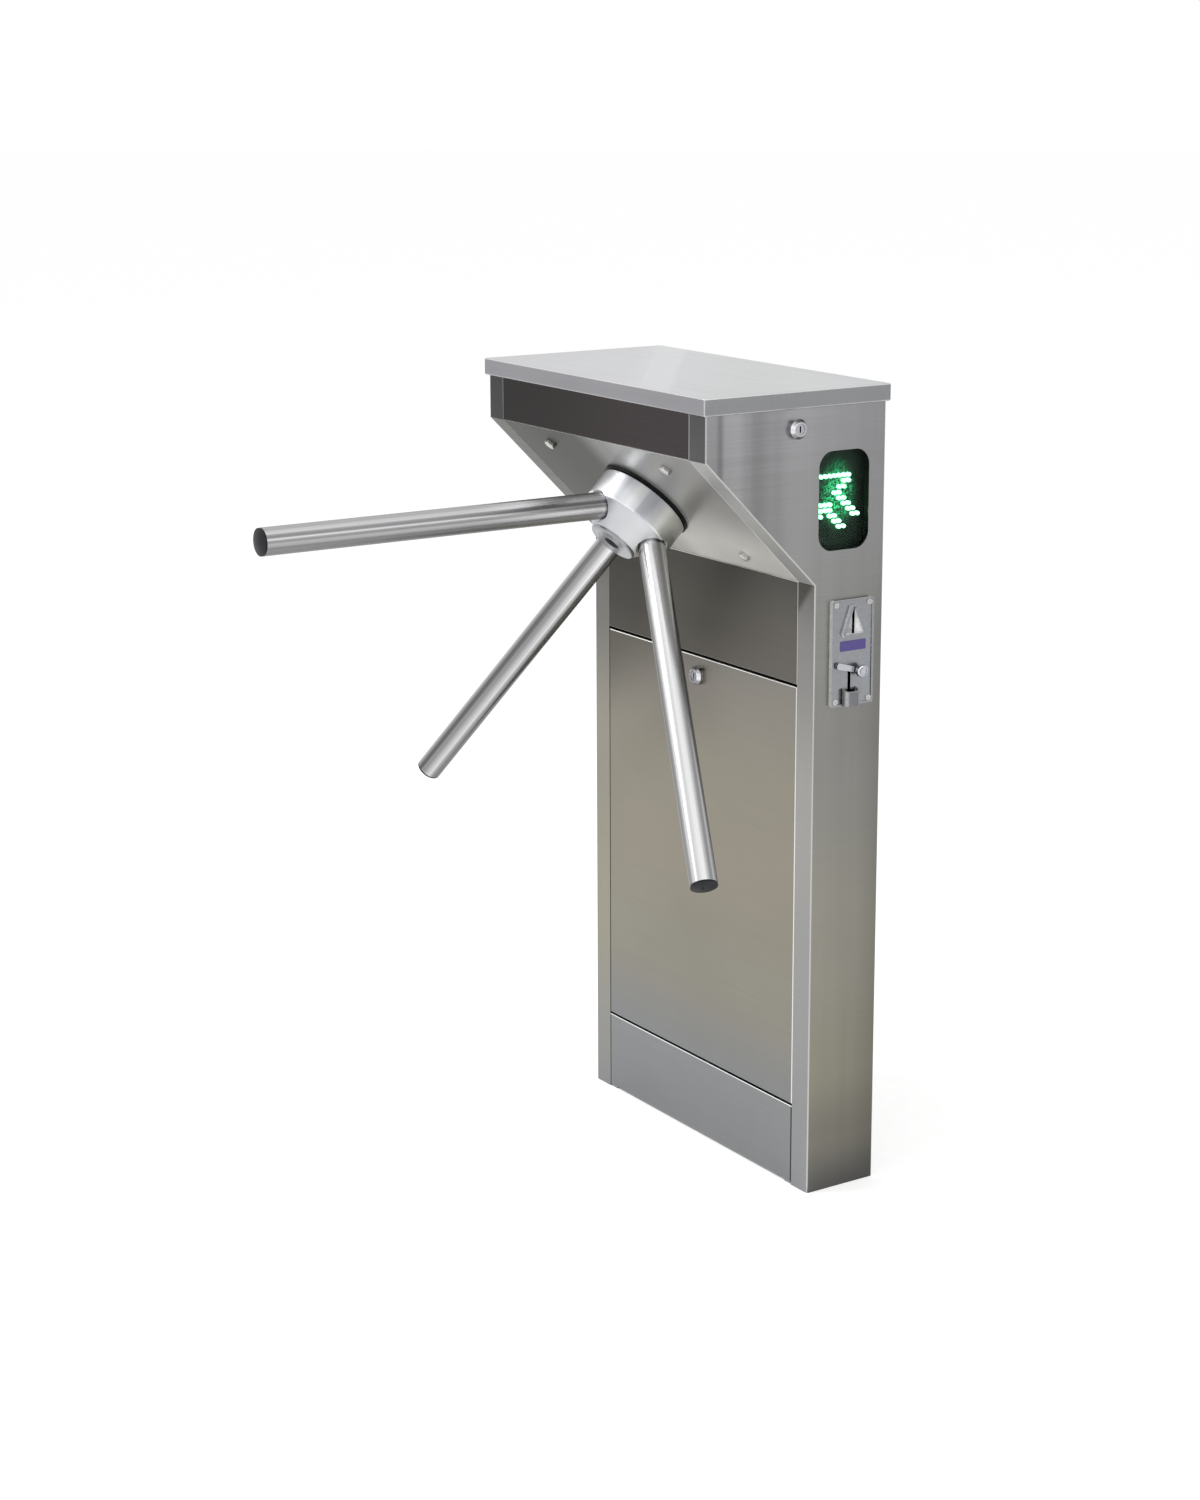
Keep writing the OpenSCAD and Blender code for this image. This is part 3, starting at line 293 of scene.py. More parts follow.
def side_sheet():
    surface = Surface("brushed_side_sheet")
    height = surface.axis(2)
    # Painted reflections: the side's tone changes up its height, darkest near the floor
    side = surface.ramp(height, [
        (0.00, srgb(96, 95, 93)), (0.07, srgb(118, 116, 107)), (0.16, srgb(136, 133, 121)),
        (0.32, srgb(140, 138, 128)), (0.55, srgb(131, 130, 126)), (0.72, srgb(134, 134, 131)),
        (0.86, srgb(138, 138, 139)), (1.00, srgb(144, 144, 146)),
    ])
    # The head's side holds painted reflections of soft upright bands behind its front corner, and the column's
    # side gets a painted reflection that darkens to the back
    bands = surface.ramp(surface.axis(1), [
        (-0.209, grey(1.04)), (-0.196, grey(1.0)), (-0.189, grey(0.70)), (-0.181, grey(1.18)),
        (-0.165, grey(1.20)), (-0.150, grey(1.0)), (-0.140, grey(0.88)), (-0.115, grey(0.98)),
        (-0.080, grey(1.15)), (-0.03, grey(1.06)), (0.05, grey(0.97)),
    ])
    fade = surface.ramp(surface.axis(1), [(-0.05, grey(1.05)), (0.0, grey(0.98)), (0.05, grey(0.80))])
    high = surface.spread(height, 0.70, 0.80, 0, 1, True)
    side = surface.mix(side, surface.mix(fade, bands, high), 1.0, "MULTIPLY")
    streaks = surface.noise(surface.stretched((1, 40, 1.2)), detail=2)
    side = surface.scaled_by(side, surface.varied(streaks, 0.96, 1.04))
    # The flanges are painted darker under the head, as shade and as a reflection of the slant
    right = surface.ramp(height, [
        (0.00, srgb(150, 150, 152)), (0.25, srgb(152, 153, 152)), (0.50, srgb(154, 152, 148)),
        (0.68, srgb(138, 137, 135)), (0.77, srgb(132, 131, 129)), (0.80, srgb(100, 99, 98)),
        (0.92, srgb(96, 95, 96)), (1.00, srgb(84, 83, 85)),
    ])
    left = surface.ramp(height, [
        (0.00, srgb(146, 146, 147)), (0.07, srgb(150, 149, 146)), (0.25, srgb(151, 148, 132)),
        (0.50, srgb(147, 143, 133)), (0.68, srgb(117, 116, 112)), (0.77, srgb(88, 87, 85)),
        (1.00, srgb(70, 70, 71)),
    ])
    flange = surface.mix(left, right, surface.spread(surface.axis(0), -0.05, 0.05, 0, 1))
    # The dark slant is mirrored in the top of the column's flanges, up to a slanting line
    mirrored = surface.spread(surface.along((-1, 0, 0.8), "Object"), 0.372, 0.382, 0, 1)
    below_head = surface.maths("LESS_THAN", height, 0.785)
    on_right = surface.maths("GREATER_THAN", surface.axis(0), 0.0)
    mirrored = surface.maths("MULTIPLY", mirrored, surface.maths("MULTIPLY", below_head, on_right))
    flange = surface.mix(flange, srgb(92, 89, 84), mirrored)
    # Where the flanges slant, a painted reflection runs from dark on the left to light on the right
    slanting = surface.spread(surface.maths("ABSOLUTE", surface.axis(2, "Normal"), 0.0), 0.3, 0.6, 0, 1)
    slope = surface.ramp(surface.axis(0), [(-0.2, srgb(90, 89, 84)), (0.2, srgb(180, 180, 178))])
    flange = surface.mix(flange, slope, slanting)
    back = surface.ramp(height, [
        (0.0, srgb(120, 119, 116)), (0.2, srgb(138, 136, 129)), (0.6, srgb(134, 133, 129)),
        (1.0, srgb(124, 124, 124)),
    ])
    flange = surface.mix(flange, back, surface.spread(surface.axis(1, "Normal"), 0.3, 0.6, 0, 1))
    facing = surface.maths("ABSOLUTE", surface.axis(0, "Normal"), 0.0)
    colour = surface.mix(flange, side, surface.spread(facing, 0.55, 0.8, 0, 1))
    return brushed(surface, colour, grain=(4, 4, 700), edge=200)


def door_sheet():
    surface = Surface("brushed_door_sheet")
    colour = surface.ramp(surface.axis(2), [
        (0.10, srgb(136, 137, 138)), (0.22, srgb(141, 138, 127)), (0.36, srgb(142, 137, 124)),
        (0.50, srgb(139, 134, 122)), (0.60, srgb(136, 132, 124)), (0.65, srgb(132, 129, 123)),
    ])
    # The slant's dark reflection reaches the door's top, farther down on the left
    beyond = surface.along((-1, 0, 2.2), "Object")
    colour = surface.mix(colour, srgb(94, 91, 83), surface.spread(beyond, 1.30, 1.60, 0, 1, True))
    return brushed(surface, colour, grain=(4, 4, 700), edge=252)


def plinth_sheet():
    surface = Surface("brushed_plinth_sheet")
    colour = surface.ramp(surface.axis(2), [(0.0, srgb(138, 139, 141)), (0.11, srgb(142, 143, 145))])
    beside = surface.maths("ABSOLUTE", surface.axis(0), 0.0)
    seam = surface.spread(beside, FLANGE_X - 0.0026, FLANGE_X - 0.0018, 0, 1)
    colour = surface.mix(colour, srgb(52, 52, 54), seam)
    return brushed(surface, colour, grain=(4, 4, 700), edge=252)


def upper_sheet():
    surface = Surface("brushed_upper_sheet")
    # Painted shade and reflection darken the panel towards its top and its left, and a painted reflection
    # lightens its right side past a slanting line
    colour = surface.ramp(surface.axis(2), [
        (0.64, srgb(90, 87, 81)), (0.69, srgb(82, 79, 73)), (0.77, srgb(72, 70, 65)),
    ])
    left = surface.spread(surface.axis(0), -0.15, -0.05, 0.72, 1.0, True)
    colour = surface.scaled_by(colour, left)
    beyond = surface.along((1, 0, -0.8), "Object")
    colour = surface.mix(colour, srgb(104, 101, 96), surface.spread(beyond, -0.56, -0.34, 0, 0.8, True))
    return brushed(surface, colour, grain=(4, 4, 700))


def slant_sheet():
    surface = Surface("brushed_slant_sheet")
    across = surface.axis(0)
    # Painted reflections: dark on the left, light on the right, and palest low down
    high = surface.ramp(across, [
        (-0.21, srgb(62, 61, 56)), (-0.10, srgb(44, 44, 34)), (-0.05, srgb(46, 46, 36)),
        (0.01, srgb(130, 130, 129)), (0.06, srgb(164, 164, 163)), (0.12, srgb(158, 157, 154)),
        (0.21, srgb(156, 155, 152)),
    ])
    low = surface.ramp(across, [
        (-0.21, srgb(66, 65, 58)), (-0.10, srgb(66, 66, 56)), (-0.03, srgb(220, 219, 212)),
        (0.02, srgb(250, 249, 242)), (0.10, srgb(240, 239, 232)), (0.21, srgb(230, 229, 223)),
    ])
    colour = surface.mix(low, high, surface.spread(surface.axis(2), 0.79, 0.86, 0, 1, True))
    surface.fixed(Specular_Tint=grey(0.68))
    return brushed(surface, colour, grain=(4, 300, 300), roughness=0.3, contrast=0.02, metallic=0.6,
                   edge=250, relief=0.000002, spread=0.008)


def band_sheet():
    surface = Surface("dark_band_sheet")
    colour = surface.ramp(surface.axis(0), [(-0.21, srgb(45, 42, 41)), (0.21, srgb(68, 62, 63))])
    return brushed(surface, colour, grain=(4, 4, 700), roughness=0.3)


def lid_sheet():
    """Polished lid. Its top holds the broad pale bands of the lamps over it."""
    surface = Surface("polished_lid_sheet")
    bands = surface.ramp(surface.along((0.6, 0.8, 0), "Object"), [
        (-0.30, srgb(174, 175, 178)), (-0.13, srgb(180, 181, 184)), (-0.108, srgb(185, 186, 189)),
        (-0.102, srgb(191, 192, 194)), (-0.072, srgb(192, 193, 195)), (-0.062, srgb(180, 182, 184)),
        (0.02, srgb(176, 177, 178)), (0.08, srgb(178, 180, 181)), (0.22, srgb(171, 173, 176)),
    ])
    # The lips are painted in two tones by the way they face, as reflections
    front = surface.spread(surface.maths("ABSOLUTE", surface.axis(0, "Normal"), 0.0), 0.4, 0.8, 0, 1)
    lips = surface.mix(srgb(161, 160, 164), srgb(146, 147, 149), front)
    top = surface.spread(surface.axis(2, "Normal"), 0.6, 0.9, 0, 1)
    return brushed(surface, surface.mix(lips, bands, top), grain=(3, 260, 260), roughness=0.24, contrast=0.02,
                   spread=0.03)


def hub_finish():
    """Satin hub, turned round its axis: painted reflections in soft bands round its flank, and plainer painted
    reflections on its cone.
    """
    surface = Surface("satin_turned_hub")
    round_hub = surface.along(HUB_SHEEN)
    flank = surface.ramp(round_hub, [
        (-1.0, srgb(196, 196, 192)), (-0.88, srgb(214, 214, 210)), (-0.75, srgb(232, 233, 228)),
        (-0.6, srgb(240, 241, 238)), (-0.4, srgb(222, 223, 226)), (-0.25, srgb(204, 206, 213)),
        (-0.08, srgb(212, 214, 222)), (0.0, srgb(246, 247, 250)), (0.14, srgb(252, 253, 255)),
        (0.3, srgb(232, 234, 238)), (0.42, srgb(214, 216, 221)), (0.6, srgb(230, 232, 236)),
        (0.9, srgb(250, 251, 253)), (1.0, srgb(196, 197, 200)),
    ])
    cone = surface.ramp(round_hub, [
        (-0.8, srgb(208, 209, 209)), (-0.3, srgb(214, 215, 216)), (0.1, srgb(204, 205, 208)),
        (0.5, srgb(194, 196, 199)), (0.9, srgb(180, 182, 185)),
    ])
    facing = surface.along(tuple(AXIS_OUT))
    colour = surface.mix(flank, cone, surface.spread(facing, 0.35, 0.6, 0, 1))
    clouds = surface.noise(surface.stretched((30, 30, 30), centre=APEX), detail=3)
    colour = surface.scaled_by(colour, surface.varied(clouds, 0.96, 1.03))
    fine = surface.noise(surface.stretched((1300, 1300, 1300)), detail=2)
    surface.driven(Base_Color=colour, Roughness=surface.varied(fine, 0.28, 0.36))
    surface.fixed(Metallic=0.85)
    surface.bump(fine, 0.00001)
    return surface.material


def cap_finish():
    """Turned cap on the hub's nose: its socket is painted dark as shade, darker and lighter rings lie about it,
    and its rim gets a painted highlight.
    """
    surface = Surface("turned_hub_cap")
    across = surface.stretched((1, 1, 1), centre=APEX)
    radial = surface.add("ShaderNodeVectorMath", operation="CROSS_PRODUCT")
    surface.join(across, radial.inputs[0])
    radial.inputs[1].default_value = tuple(AXIS_OUT)
    colour = surface.ramp(surface.length(radial.outputs["Vector"]), [
        (0.0035, srgb(44, 44, 46)), (0.0060, srgb(90, 90, 92)), (0.0068, srgb(170, 170, 172)),
        (0.0115, srgb(164, 165, 167)), (0.0125, srgb(140, 141, 143)), (0.0135, srgb(172, 173, 175)),
        (0.0195, srgb(164, 165, 168)), (0.0205, srgb(144, 145, 148)), (0.0215, srgb(172, 173, 175)),
        (0.026, srgb(160, 161, 164)),
    ])
    fine = surface.noise(surface.stretched((1300, 1300, 1300)), detail=2)
    surface.driven(Base_Color=surface.scaled_by(colour, surface.varied(fine, 0.96, 1.03)),
                   Roughness=surface.varied(fine, 0.22, 0.3))
    surface.fixed(Metallic=0.85)
    surface.bump(fine, 0.00001)
    return surface.material


def polished_tube(arm):
    """Polished tube with painted reflection streaks and fine draw lines along its length."""
    angle, foot_light, smooth, across, streaks = ARMS[arm]
    surface = Surface("polished_tube_" + arm)
    turn = arm_turn(angle).to_euler()
    lines = surface.noise(surface.stretched((420, 420, 1.5), turn=turn, centre=APEX), detail=3)
    wander = surface.noise(surface.stretched((6, 6, 1.5), turn=turn, centre=APEX), detail=1)
    place = surface.maths("ADD", surface.along(across), surface.varied(wander, -0.04, 0.04))
    colour = surface.ramp(place, [
        (1 - 2 * share, srgb(tone, tone, tone + 1)) for share, tone in reversed(streaks)
    ])
    colour = surface.scaled_by(colour, surface.varied(lines, 0.88, 1.06))
    # The dark cabinet is mirrored in the tube's foot, which is therefore held lighter
    from_apex = surface.length(surface.stretched((1, 1, 1), centre=APEX))
    colour = surface.scaled_by(colour, surface.spread(from_apex, 0.06, 0.26, foot_light, 1.0, True))
    surface.driven(Base_Color=colour, Roughness=surface.varied(lines, smooth, smooth + 0.1))
    surface.fixed(Metallic=0.9)
    surface.bump(lines, 0.00002)
    return surface.material


def plated(name, tone, roughness, metallic=1.0):
    surface = Surface(name)
    wear = surface.noise(surface.stretched((120, 120, 120)), detail=2)
    surface.driven(Base_Color=surface.mottled(wear, [0.94 * value for value in tone], tone),
                   Roughness=surface.varied(wear, roughness - 0.02, roughness + 0.04))
    surface.fixed(Metallic=metallic)
    surface.bump(wear, 0.00001, 0.2)
    return surface.material


def plated_lock(out=None, face=0.0):
    """Bright plating on the locks and the coin plate's lever: the faces are plain, and the rounded sides hold
    painted reflections of a pale room over a dark floor. What lies behind the face, seen along out, is painted
    dark as the shade in a key slot."""
    surface = Surface("plated_lock_parts")
    sides = surface.ramp(surface.axis(2, "Normal"), [
        (-1.0, srgb(92, 92, 94)), (-0.45, srgb(150, 150, 152)), (-0.15, srgb(232, 232, 234)),
        (0.25, srgb(245, 245, 247)), (0.5, srgb(190, 190, 193)), (0.75, srgb(92, 92, 95)),
        (1.0, srgb(160, 160, 163)),
    ])
    flat = surface.spread(surface.crest(FACES[:2]), 0.02, 0.12, 1, 0)
    colour = surface.mix(sides, srgb(186, 186, 194), flat)
    if out:
        slot = surface.spread(surface.along(out, "Object"), face - 0.0004, face - 0.0002, 1, 0)
        colour = surface.mix(colour, srgb(14, 14, 16), slot)
    wear = surface.noise(surface.stretched((500, 500, 500)), detail=2)
    surface.driven(Base_Color=surface.scaled_by(colour, surface.varied(wear, 0.94, 1.04)),
                   Roughness=surface.varied(wear, 0.14, 0.22))
    surface.fixed(Metallic=1.0)
    surface.bump(wear, 0.00001)
    return surface.material


def cast_metal(name, field, dark, bright, highlight_strength=1.0):
    """Casting with painted light: its rounded edges and the slopes towards the passage get painted highlights,
    and its other sides are painted darker as shade.
    """
    surface = Surface(name)
    lit = surface.along((0, -0.9, 0.4))
    colour = surface.ramp(lit, [
        (-1.0, srgb(dark, dark, dark + 4)), (-0.25, srgb(dark + 14, dark + 15, dark + 19)),
        (-0.06, srgb(field, field + 2, field + 6)), (0.08, srgb(field, field + 2, field + 6)),
        (0.3, srgb(bright, bright, bright + 1)), (1.0, srgb(bright, bright, bright + 1)),
    ])
    painted_highlight = surface.spread(surface.crest(FACES[:3]), 0.03, 0.15, 0, highlight_strength)
    colour = surface.mix(colour, srgb(246, 246, 247), painted_highlight)
    # The slots are painted dark inside, as shade
    behind = surface.maths("LESS_THAN", surface.axis(0), PLATE_LOW.x + SLOT_DEPTH)
    sideways = surface.component(surface.stretched((1, 1, 1), centre=PLATE_CENTRE), 1)
    beside = surface.maths("ABSOLUTE", sideways, 0.0)
    within = surface.maths("LESS_THAN", beside, PLATE_HALF.y - SLOT_MARGIN)
    colour = surface.mix(colour, srgb(16, 16, 18), surface.maths("MULTIPLY", behind, within))
    wear = surface.noise(surface.stretched((160, 160, 160)), detail=3)
    surface.driven(Base_Color=surface.scaled_by(colour, surface.varied(wear, 0.94, 1.04)),
                   Roughness=surface.varied(wear, 0.2, 0.3),
                   Metallic=surface.spread(lit, 0.05, 0.35, 0.9, 0.25))
    surface.bump(wear, 0.000006)
    return surface.material


def moulded(name, tone, roughness=0.5, metallic=0.0, gloss=0.5):
    surface = Surface(name)
    grain = surface.noise(surface.stretched((1400, 1400, 1400)), detail=3)
    surface.driven(Base_Color=surface.mottled(grain, [0.88 * value for value in tone], tone),
                   Roughness=surface.varied(grain, roughness - 0.08, roughness + 0.08))
    surface.fixed(Metallic=metallic, Specular_IOR_Level=gloss)
    surface.bump(grain, 0.00004)
    return surface.material


def window_glass():
    surface = Surface("green_window_glass")
    haze = surface.noise(surface.stretched((30, 30, 30)), detail=2)
    surface.driven(Base_Color=surface.mottled(haze, (196, 226, 208), (208, 234, 218)))
    surface.fixed(Roughness=0.02, IOR=1.12, Transmission_Weight=1.0)
    return surface.material


def lamp_glow():
    surface = Surface("green_lamp_glow")
    surface.fixed(Roughness=0.4, Base_Color=srgb(205, 255, 222),
                  Emission_Color=srgb(176, 255, 208), Emission_Strength=3.0)
    return surface.material


def display_board():
    """Dark board with the green light of the lit arrow painted on it as a glow, with painted sparkles."""
    surface = Surface("dark_display_board")
    window_low, window_high = (Vector(corner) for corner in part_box("indicator_window"))
    centre = (window_low + window_high) / 2 + Vector((0, 0, 0.006))
    away = surface.length(surface.stretched((18, 34, 22), centre=centre))
    glow = surface.spread(away, 0.25, 1.05, 1, 0, True)
    sparkle = surface.noise(surface.stretched((260, 260, 260)), detail=3, roughness=0.8)
    light = surface.maths("MULTIPLY", glow, surface.spread(sparkle, 0.47, 0.60, 0.15, 2.8))
    surface.fixed(Roughness=0.5, Base_Color=srgb(6, 16, 13), Emission_Color=srgb(50, 180, 120))
    surface.driven(Emission_Strength=light)
    return surface.material


# Pieces

def arm_turn(angle):
    """Turn from +Z onto the arm that stands at this angle about the tripod's axis."""
    local = Matrix((Vector((1, 0, 0)), UP_SLOPE, AXIS_OUT)).transposed()
    spin = Matrix.Rotation(math.radians(angle), 3, "Z")
    lean = Matrix.Rotation(math.radians(-45), 3, "X")
    return local @ spin @ lean


def new_object(name, data):
    made = bpy.data.objects.new(name, data)
    bpy.context.scene.collection.objects.link(made)
    return made


def new_mesh(name, bm):
    mesh = bpy.data.meshes.new(name)
    bm.to_mesh(mesh)
    bm.free()
    return mesh


def finish_piece(name, mesh, material, body):
    piece = new_object(name, mesh)
    mesh.materials.append(material)
    mesh.set_sharp_from_angle(angle=math.radians(32))
    weighted = piece.modifiers.new("flat_faces", "WEIGHTED_NORMAL")
    weighted.mode = "FACE_AREA"
    weighted.weight = 100
    weighted.keep_sharp = True
    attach(piece, body)
    return piece


def sharp_edges(bm, least=30):
    return [edge for edge in bm.edges
            if len(edge.link_faces) == 2 and edge.calc_face_angle(0) > math.radians(least)]


def rounded(bm, edges, radius, segments, clamp=False):
    bmesh.ops.bevel(bm, geom=edges, affect="EDGES", offset=radius, offset_type="OFFSET",
                    segments=segments, profile=0.5, material=-1, clamp_overlap=clamp)


def softened(node, material, width, segments=2, bends=None, bend_radius=0.0025):
    """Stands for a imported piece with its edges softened. The edges that bends picks get the bend's radius."""
    bm = bmesh.new()
    bm.from_mesh(frame["nodes"][node].data)
    bmesh.ops.remove_doubles(bm, verts=bm.verts, dist=1e-6)
    bmesh.ops.dissolve_limit(bm, angle_limit=math.radians(0.5), verts=bm.verts, edges=bm.edges)
    if bends:
        rounded(bm, [edge for edge in sharp_edges(bm, 20) if bends(edge)], bend_radius, 4)
    if width:
        rounded(bm, sharp_edges(bm), width, segments, clamp=True)
    for face in bm.faces:
        face.smooth = True
    mesh = new_mesh(node + "_softened", bm)
    body = frame["nodes"][node]["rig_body"]
    piece = finish_piece(node + "_finished", mesh, material, body)
    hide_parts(node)


def painted(node, material):
    """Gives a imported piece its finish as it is."""
    mesh = frame["nodes"][node].data
    mesh.materials.clear()
    mesh.materials.append(material)


def outer_bend(edge):
    """An edge of a side shell where the side face turns into a flange."""
    ends = [vertex.co for vertex in edge.verts]
    if any(abs(abs(end.x) - SIDE_X) > NEAR for end in ends):
        return False
    return on_one_face(ends) and edge.calc_length() > LONG


def on_one_face(points):
    """Whether the points lie together on the cabinet's back, or on one of its front faces."""
    def gaps(point):
        return (point.y - COLUMN_BACK, point.y - HEAD_FRONT, point.y - COLUMN_FRONT,
                point.dot(AXIS_OUT) - SLANT_OUT)
    return any(all(abs(gap) < FLUSH for gap in face) for face in zip(*(gaps(point) for point in points)))


def lid_bend(edge):
    """An edge of the lid's outer box."""
    ends = [vertex.co for vertex in edge.verts]
    def outer_faces(end):
        gaps = (abs(end.x) - LID_HIGH.x, min(abs(end.y - LID_LOW.y), abs(end.y - LID_HIGH.y)),
                end.z - LID_HIGH.z)
        return sum(abs(gap) < NEAR for gap in gaps)
    return all(outer_faces(end) >= 2 for end in ends)


def door_bend(edge):
    """An outer edge of the door's front face."""
    on_front = all(abs(vertex.co.y - COLUMN_FRONT) < NEAR for vertex in edge.verts)
    return on_front and edge.calc_length() > LONG


def panel_edge(edge):
    """An outer edge of a panel's front face."""
    return on_one_face([vertex.co for vertex in edge.verts]) and edge.calc_length() > LONG


def top_edge(edge):
    """A level outer edge of a panel's front face."""
    return panel_edge(edge) and abs(edge.verts[0].co.z - edge.verts[1].co.z) < NEAR


def plate_edge(edge):
    """A long straight edge of the top of the coin plate's raised rim."""
    on_top = all(abs(vertex.co.x - SIDE_X - PLATE_RIM) < NEAR for vertex in edge.verts)
    return on_top and edge.calc_length() > PLATE_HALF.y


def hub_rim(edge):
    """An edge of the circle where the hub's flank meets its cone."""
    for vertex in edge.verts:
        out = (vertex.co - HUB_SEAT).dot(AXIS_OUT)
        radius = (vertex.co - HUB_SEAT - AXIS_OUT * out).length
        if abs(out - HUB_RIM[0]) > ROUND or abs(radius - HUB_RIM[1]) > ROUND:
            return False
    return True


def blank_label(material):
    """Plain label on the coin plate, under the coin entry."""
    width, height, thickness = 0.0385, 0.0125, 0.0003
    seat, corner = 0.004, 0.0015
    centre = Vector((PLATE_LOW.x + seat + thickness / 2, 0.0037, 0.690))
    bm = bmesh.new()
    bmesh.ops.create_cube(bm, size=1)
    bmesh.ops.scale(bm, vec=(thickness, width, height), verts=bm.verts)
    corners = [edge for edge in bm.edges if abs(edge.verts[0].co.x - edge.verts[1].co.x) > thickness / 2]
    rounded(bm, corners, corner, 4)
    bmesh.ops.translate(bm, vec=centre, verts=bm.verts)
    mesh = new_mesh("coin_plate_label", bm)
    finish_piece("coin_plate_label", mesh, material, "cabinet")


def return_cup(material):
    """Cup under the coin return, with a rounded front and a rim that dips forwards."""
    low, high = (Vector(corner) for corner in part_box("coin_return_cup"))
    wall, radius, dip, softening = 0.002, 0.0065, 0.004, 0.0006

    def plan(inset):
        """Outline from the plate's left, round the front, to its right: (outwards, sideways)."""
        points = [(low.x, low.y + inset)]
        for side, turns in ((-1, range(9)), (1, range(8, -1, -1))):
            for turn in turns:
                angle = math.radians(90) * turn / 8
                across = (high.y - low.y) / 2 - radius + (radius - inset) * math.cos(angle)
                outwards = high.x - radius + (radius - inset) * math.sin(angle)
                points.append((outwards, (low.y + high.y) / 2 + side * across))
        return points + [(low.x, high.y - inset)]

    bm = bmesh.new()

    def ring(points, height):
        return [bm.verts.new((x, y, height(x))) for x, y in points]

    def rim(x):
        return high.z - dip * (x - low.x) / (high.x - low.x)

    base = ring(plan(0), lambda x: low.z)
    outside = ring(plan(0), rim)
    inside = ring(plan(wall), rim)
    floor = ring(plan(wall), lambda x: low.z + wall)
    for first, second in ((base, outside), (outside, inside), (inside, floor)):
        for index in range(len(first) - 1):
            bm.faces.new((first[index], first[index + 1], second[index + 1], second[index]))
    bm.faces.new(base[::-1])
    bm.faces.new(floor)
    bm.faces.new((base[0], outside[0], inside[0], floor[0], floor[-1], inside[-1], outside[-1], base[-1]))
    bmesh.ops.recalc_face_normals(bm, faces=bm.faces)
    edges = [edge for edge in sharp_edges(bm, 40) if min(vertex.co.x for vertex in edge.verts) > low.x + NEAR]
    rounded(bm, edges, softening, 2, clamp=True)
    for face in bm.faces:
        face.smooth = True
    mesh = new_mesh("coin_return_cup_rounded", bm)
    body = frame["nodes"]["coin_return_cup"]["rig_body"]
    piece = finish_piece("coin_return_cup_finished", mesh, material, body)
    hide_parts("coin_return_cup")


# The cabinet
side_steel = side_sheet()
for shell in ("left_side_shell", "right_side_shell"):
    softened(shell, side_steel, 0.0003, 1, bends=outer_bend, bend_radius=0.0024)
softened("door", door_sheet(), 0.0003, 1, bends=door_bend, bend_radius=0.0022)
softened("plinth_panel", plinth_sheet(), 0, bends=top_edge, bend_radius=0.0014)
for panel, finish in (("upper_panel", upper_sheet), ("slant_panel", slant_sheet), ("band_panel", band_sheet)):
    softened(panel, finish(), 0.0003, 1, bends=panel_edge, bend_radius=0.0012)
softened("back_panel", side_steel, 0.0004)
softened("lid", lid_sheet(), 0.0003, 1, bends=lid_bend, bend_radius=0.002)

# The tripod
hub_metal = hub_finish()
softened("hub", hub_metal, 0.0003, 1, bends=hub_rim, bend_radius=0.002)
painted("hub_cap", cap_finish())
for arm in ARMS:
    softened(arm, polished_tube(arm), 0)
painted("arm_end_caps", moulded("black_end_caps", (26, 27, 31), 0.35, gloss=0.15))
painted("neck_collar", moulded("black_neck_collar", (20, 20, 21), 0.4, gloss=0.2))

# Bolts and locks
bright = plated_lock()
dull = plated("steel_bolt_heads", (206, 205, 202), 0.2, metallic=0.7)
softened("slant_bolts", dull, 0.0005)
for barrel in ("lid_lock_barrel", "door_lock_barrel"):
    softened(barrel, bright, 0.0003)
softened("lid_lock_plug", plated_lock((1, 0, 0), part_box("lid_lock_plug")[1][0]), 0.0003)
softened("door_lock_plug", plated_lock((0, -1, 0), -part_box("door_lock_plug")[0][1]), 0.0003)

# The coin plate and the display
softened("coin_faceplate", cast_metal("cast_coin_plate", 146, 90, 240), 0,
         bends=plate_edge, bend_radius=0.0011)
return_cup(cast_metal("cast_return_cup", 118, 84, 128, 0.3))
softened("coin_return_lever", bright, 0.0004)
painted("coin_plate_screws", dull)
painted("coin_acceptor", moulded("dark_coin_acceptor", (30, 30, 32)))
blank_label(moulded("violet_label", (84, 70, 140), 0.45))
painted("indicator_window", window_glass())
painted("indicator_leds", lamp_glow())
painted("indicator_housing", moulded("black_display_housing", (12, 14, 13), 0.6))
painted("indicator_board", display_board())

# Inside the cabinet
machined = plated("machined_plates", (178, 180, 183), 0.3)
ground = plated("ground_steel", (165, 166, 168), 0.18)
zinc = plated("zinc_plated_steel", (158, 160, 160), 0.35)
black_steel = moulded("blackened_steel", (38, 38, 40), 0.45, 0.6)
for node in ("mechanism_plate", "rear_plate", "power_supply"):
    painted(node, machined)
for node in ("bearing_outer_rings", "bearing_inner_rings", "bearing_balls", "pawl_pins", "shaft",
             "locking_wheel", "main_gear", "pawl_a", "pawl_b", "plunger_spring_a", "plunger_spring_b"):
    painted(node, ground)
for node in ("base_plate", "spacer_pillars", "solenoid_frames", "shaft_nut", "plunger_a", "plunger_b",
             "coin_chute", "coin_box", "lid_catch"):
    painted(node, zinc)
for node in ("damper_body", "hub_screws"):
    painted(node, black_steel)
painted("damper_pinion", plated("machined_brass", (214, 184, 110), 0.25))
painted("position_sensors", plated("nickel_brass_sensors", (206, 190, 140), 0.25))
painted("solenoid_coils", moulded("varnished_coils", (150, 70, 36), 0.3))
painted("controller_board", moulded("green_circuit_board", (24, 84, 46), 0.4))


# Floor, lights, world and camera

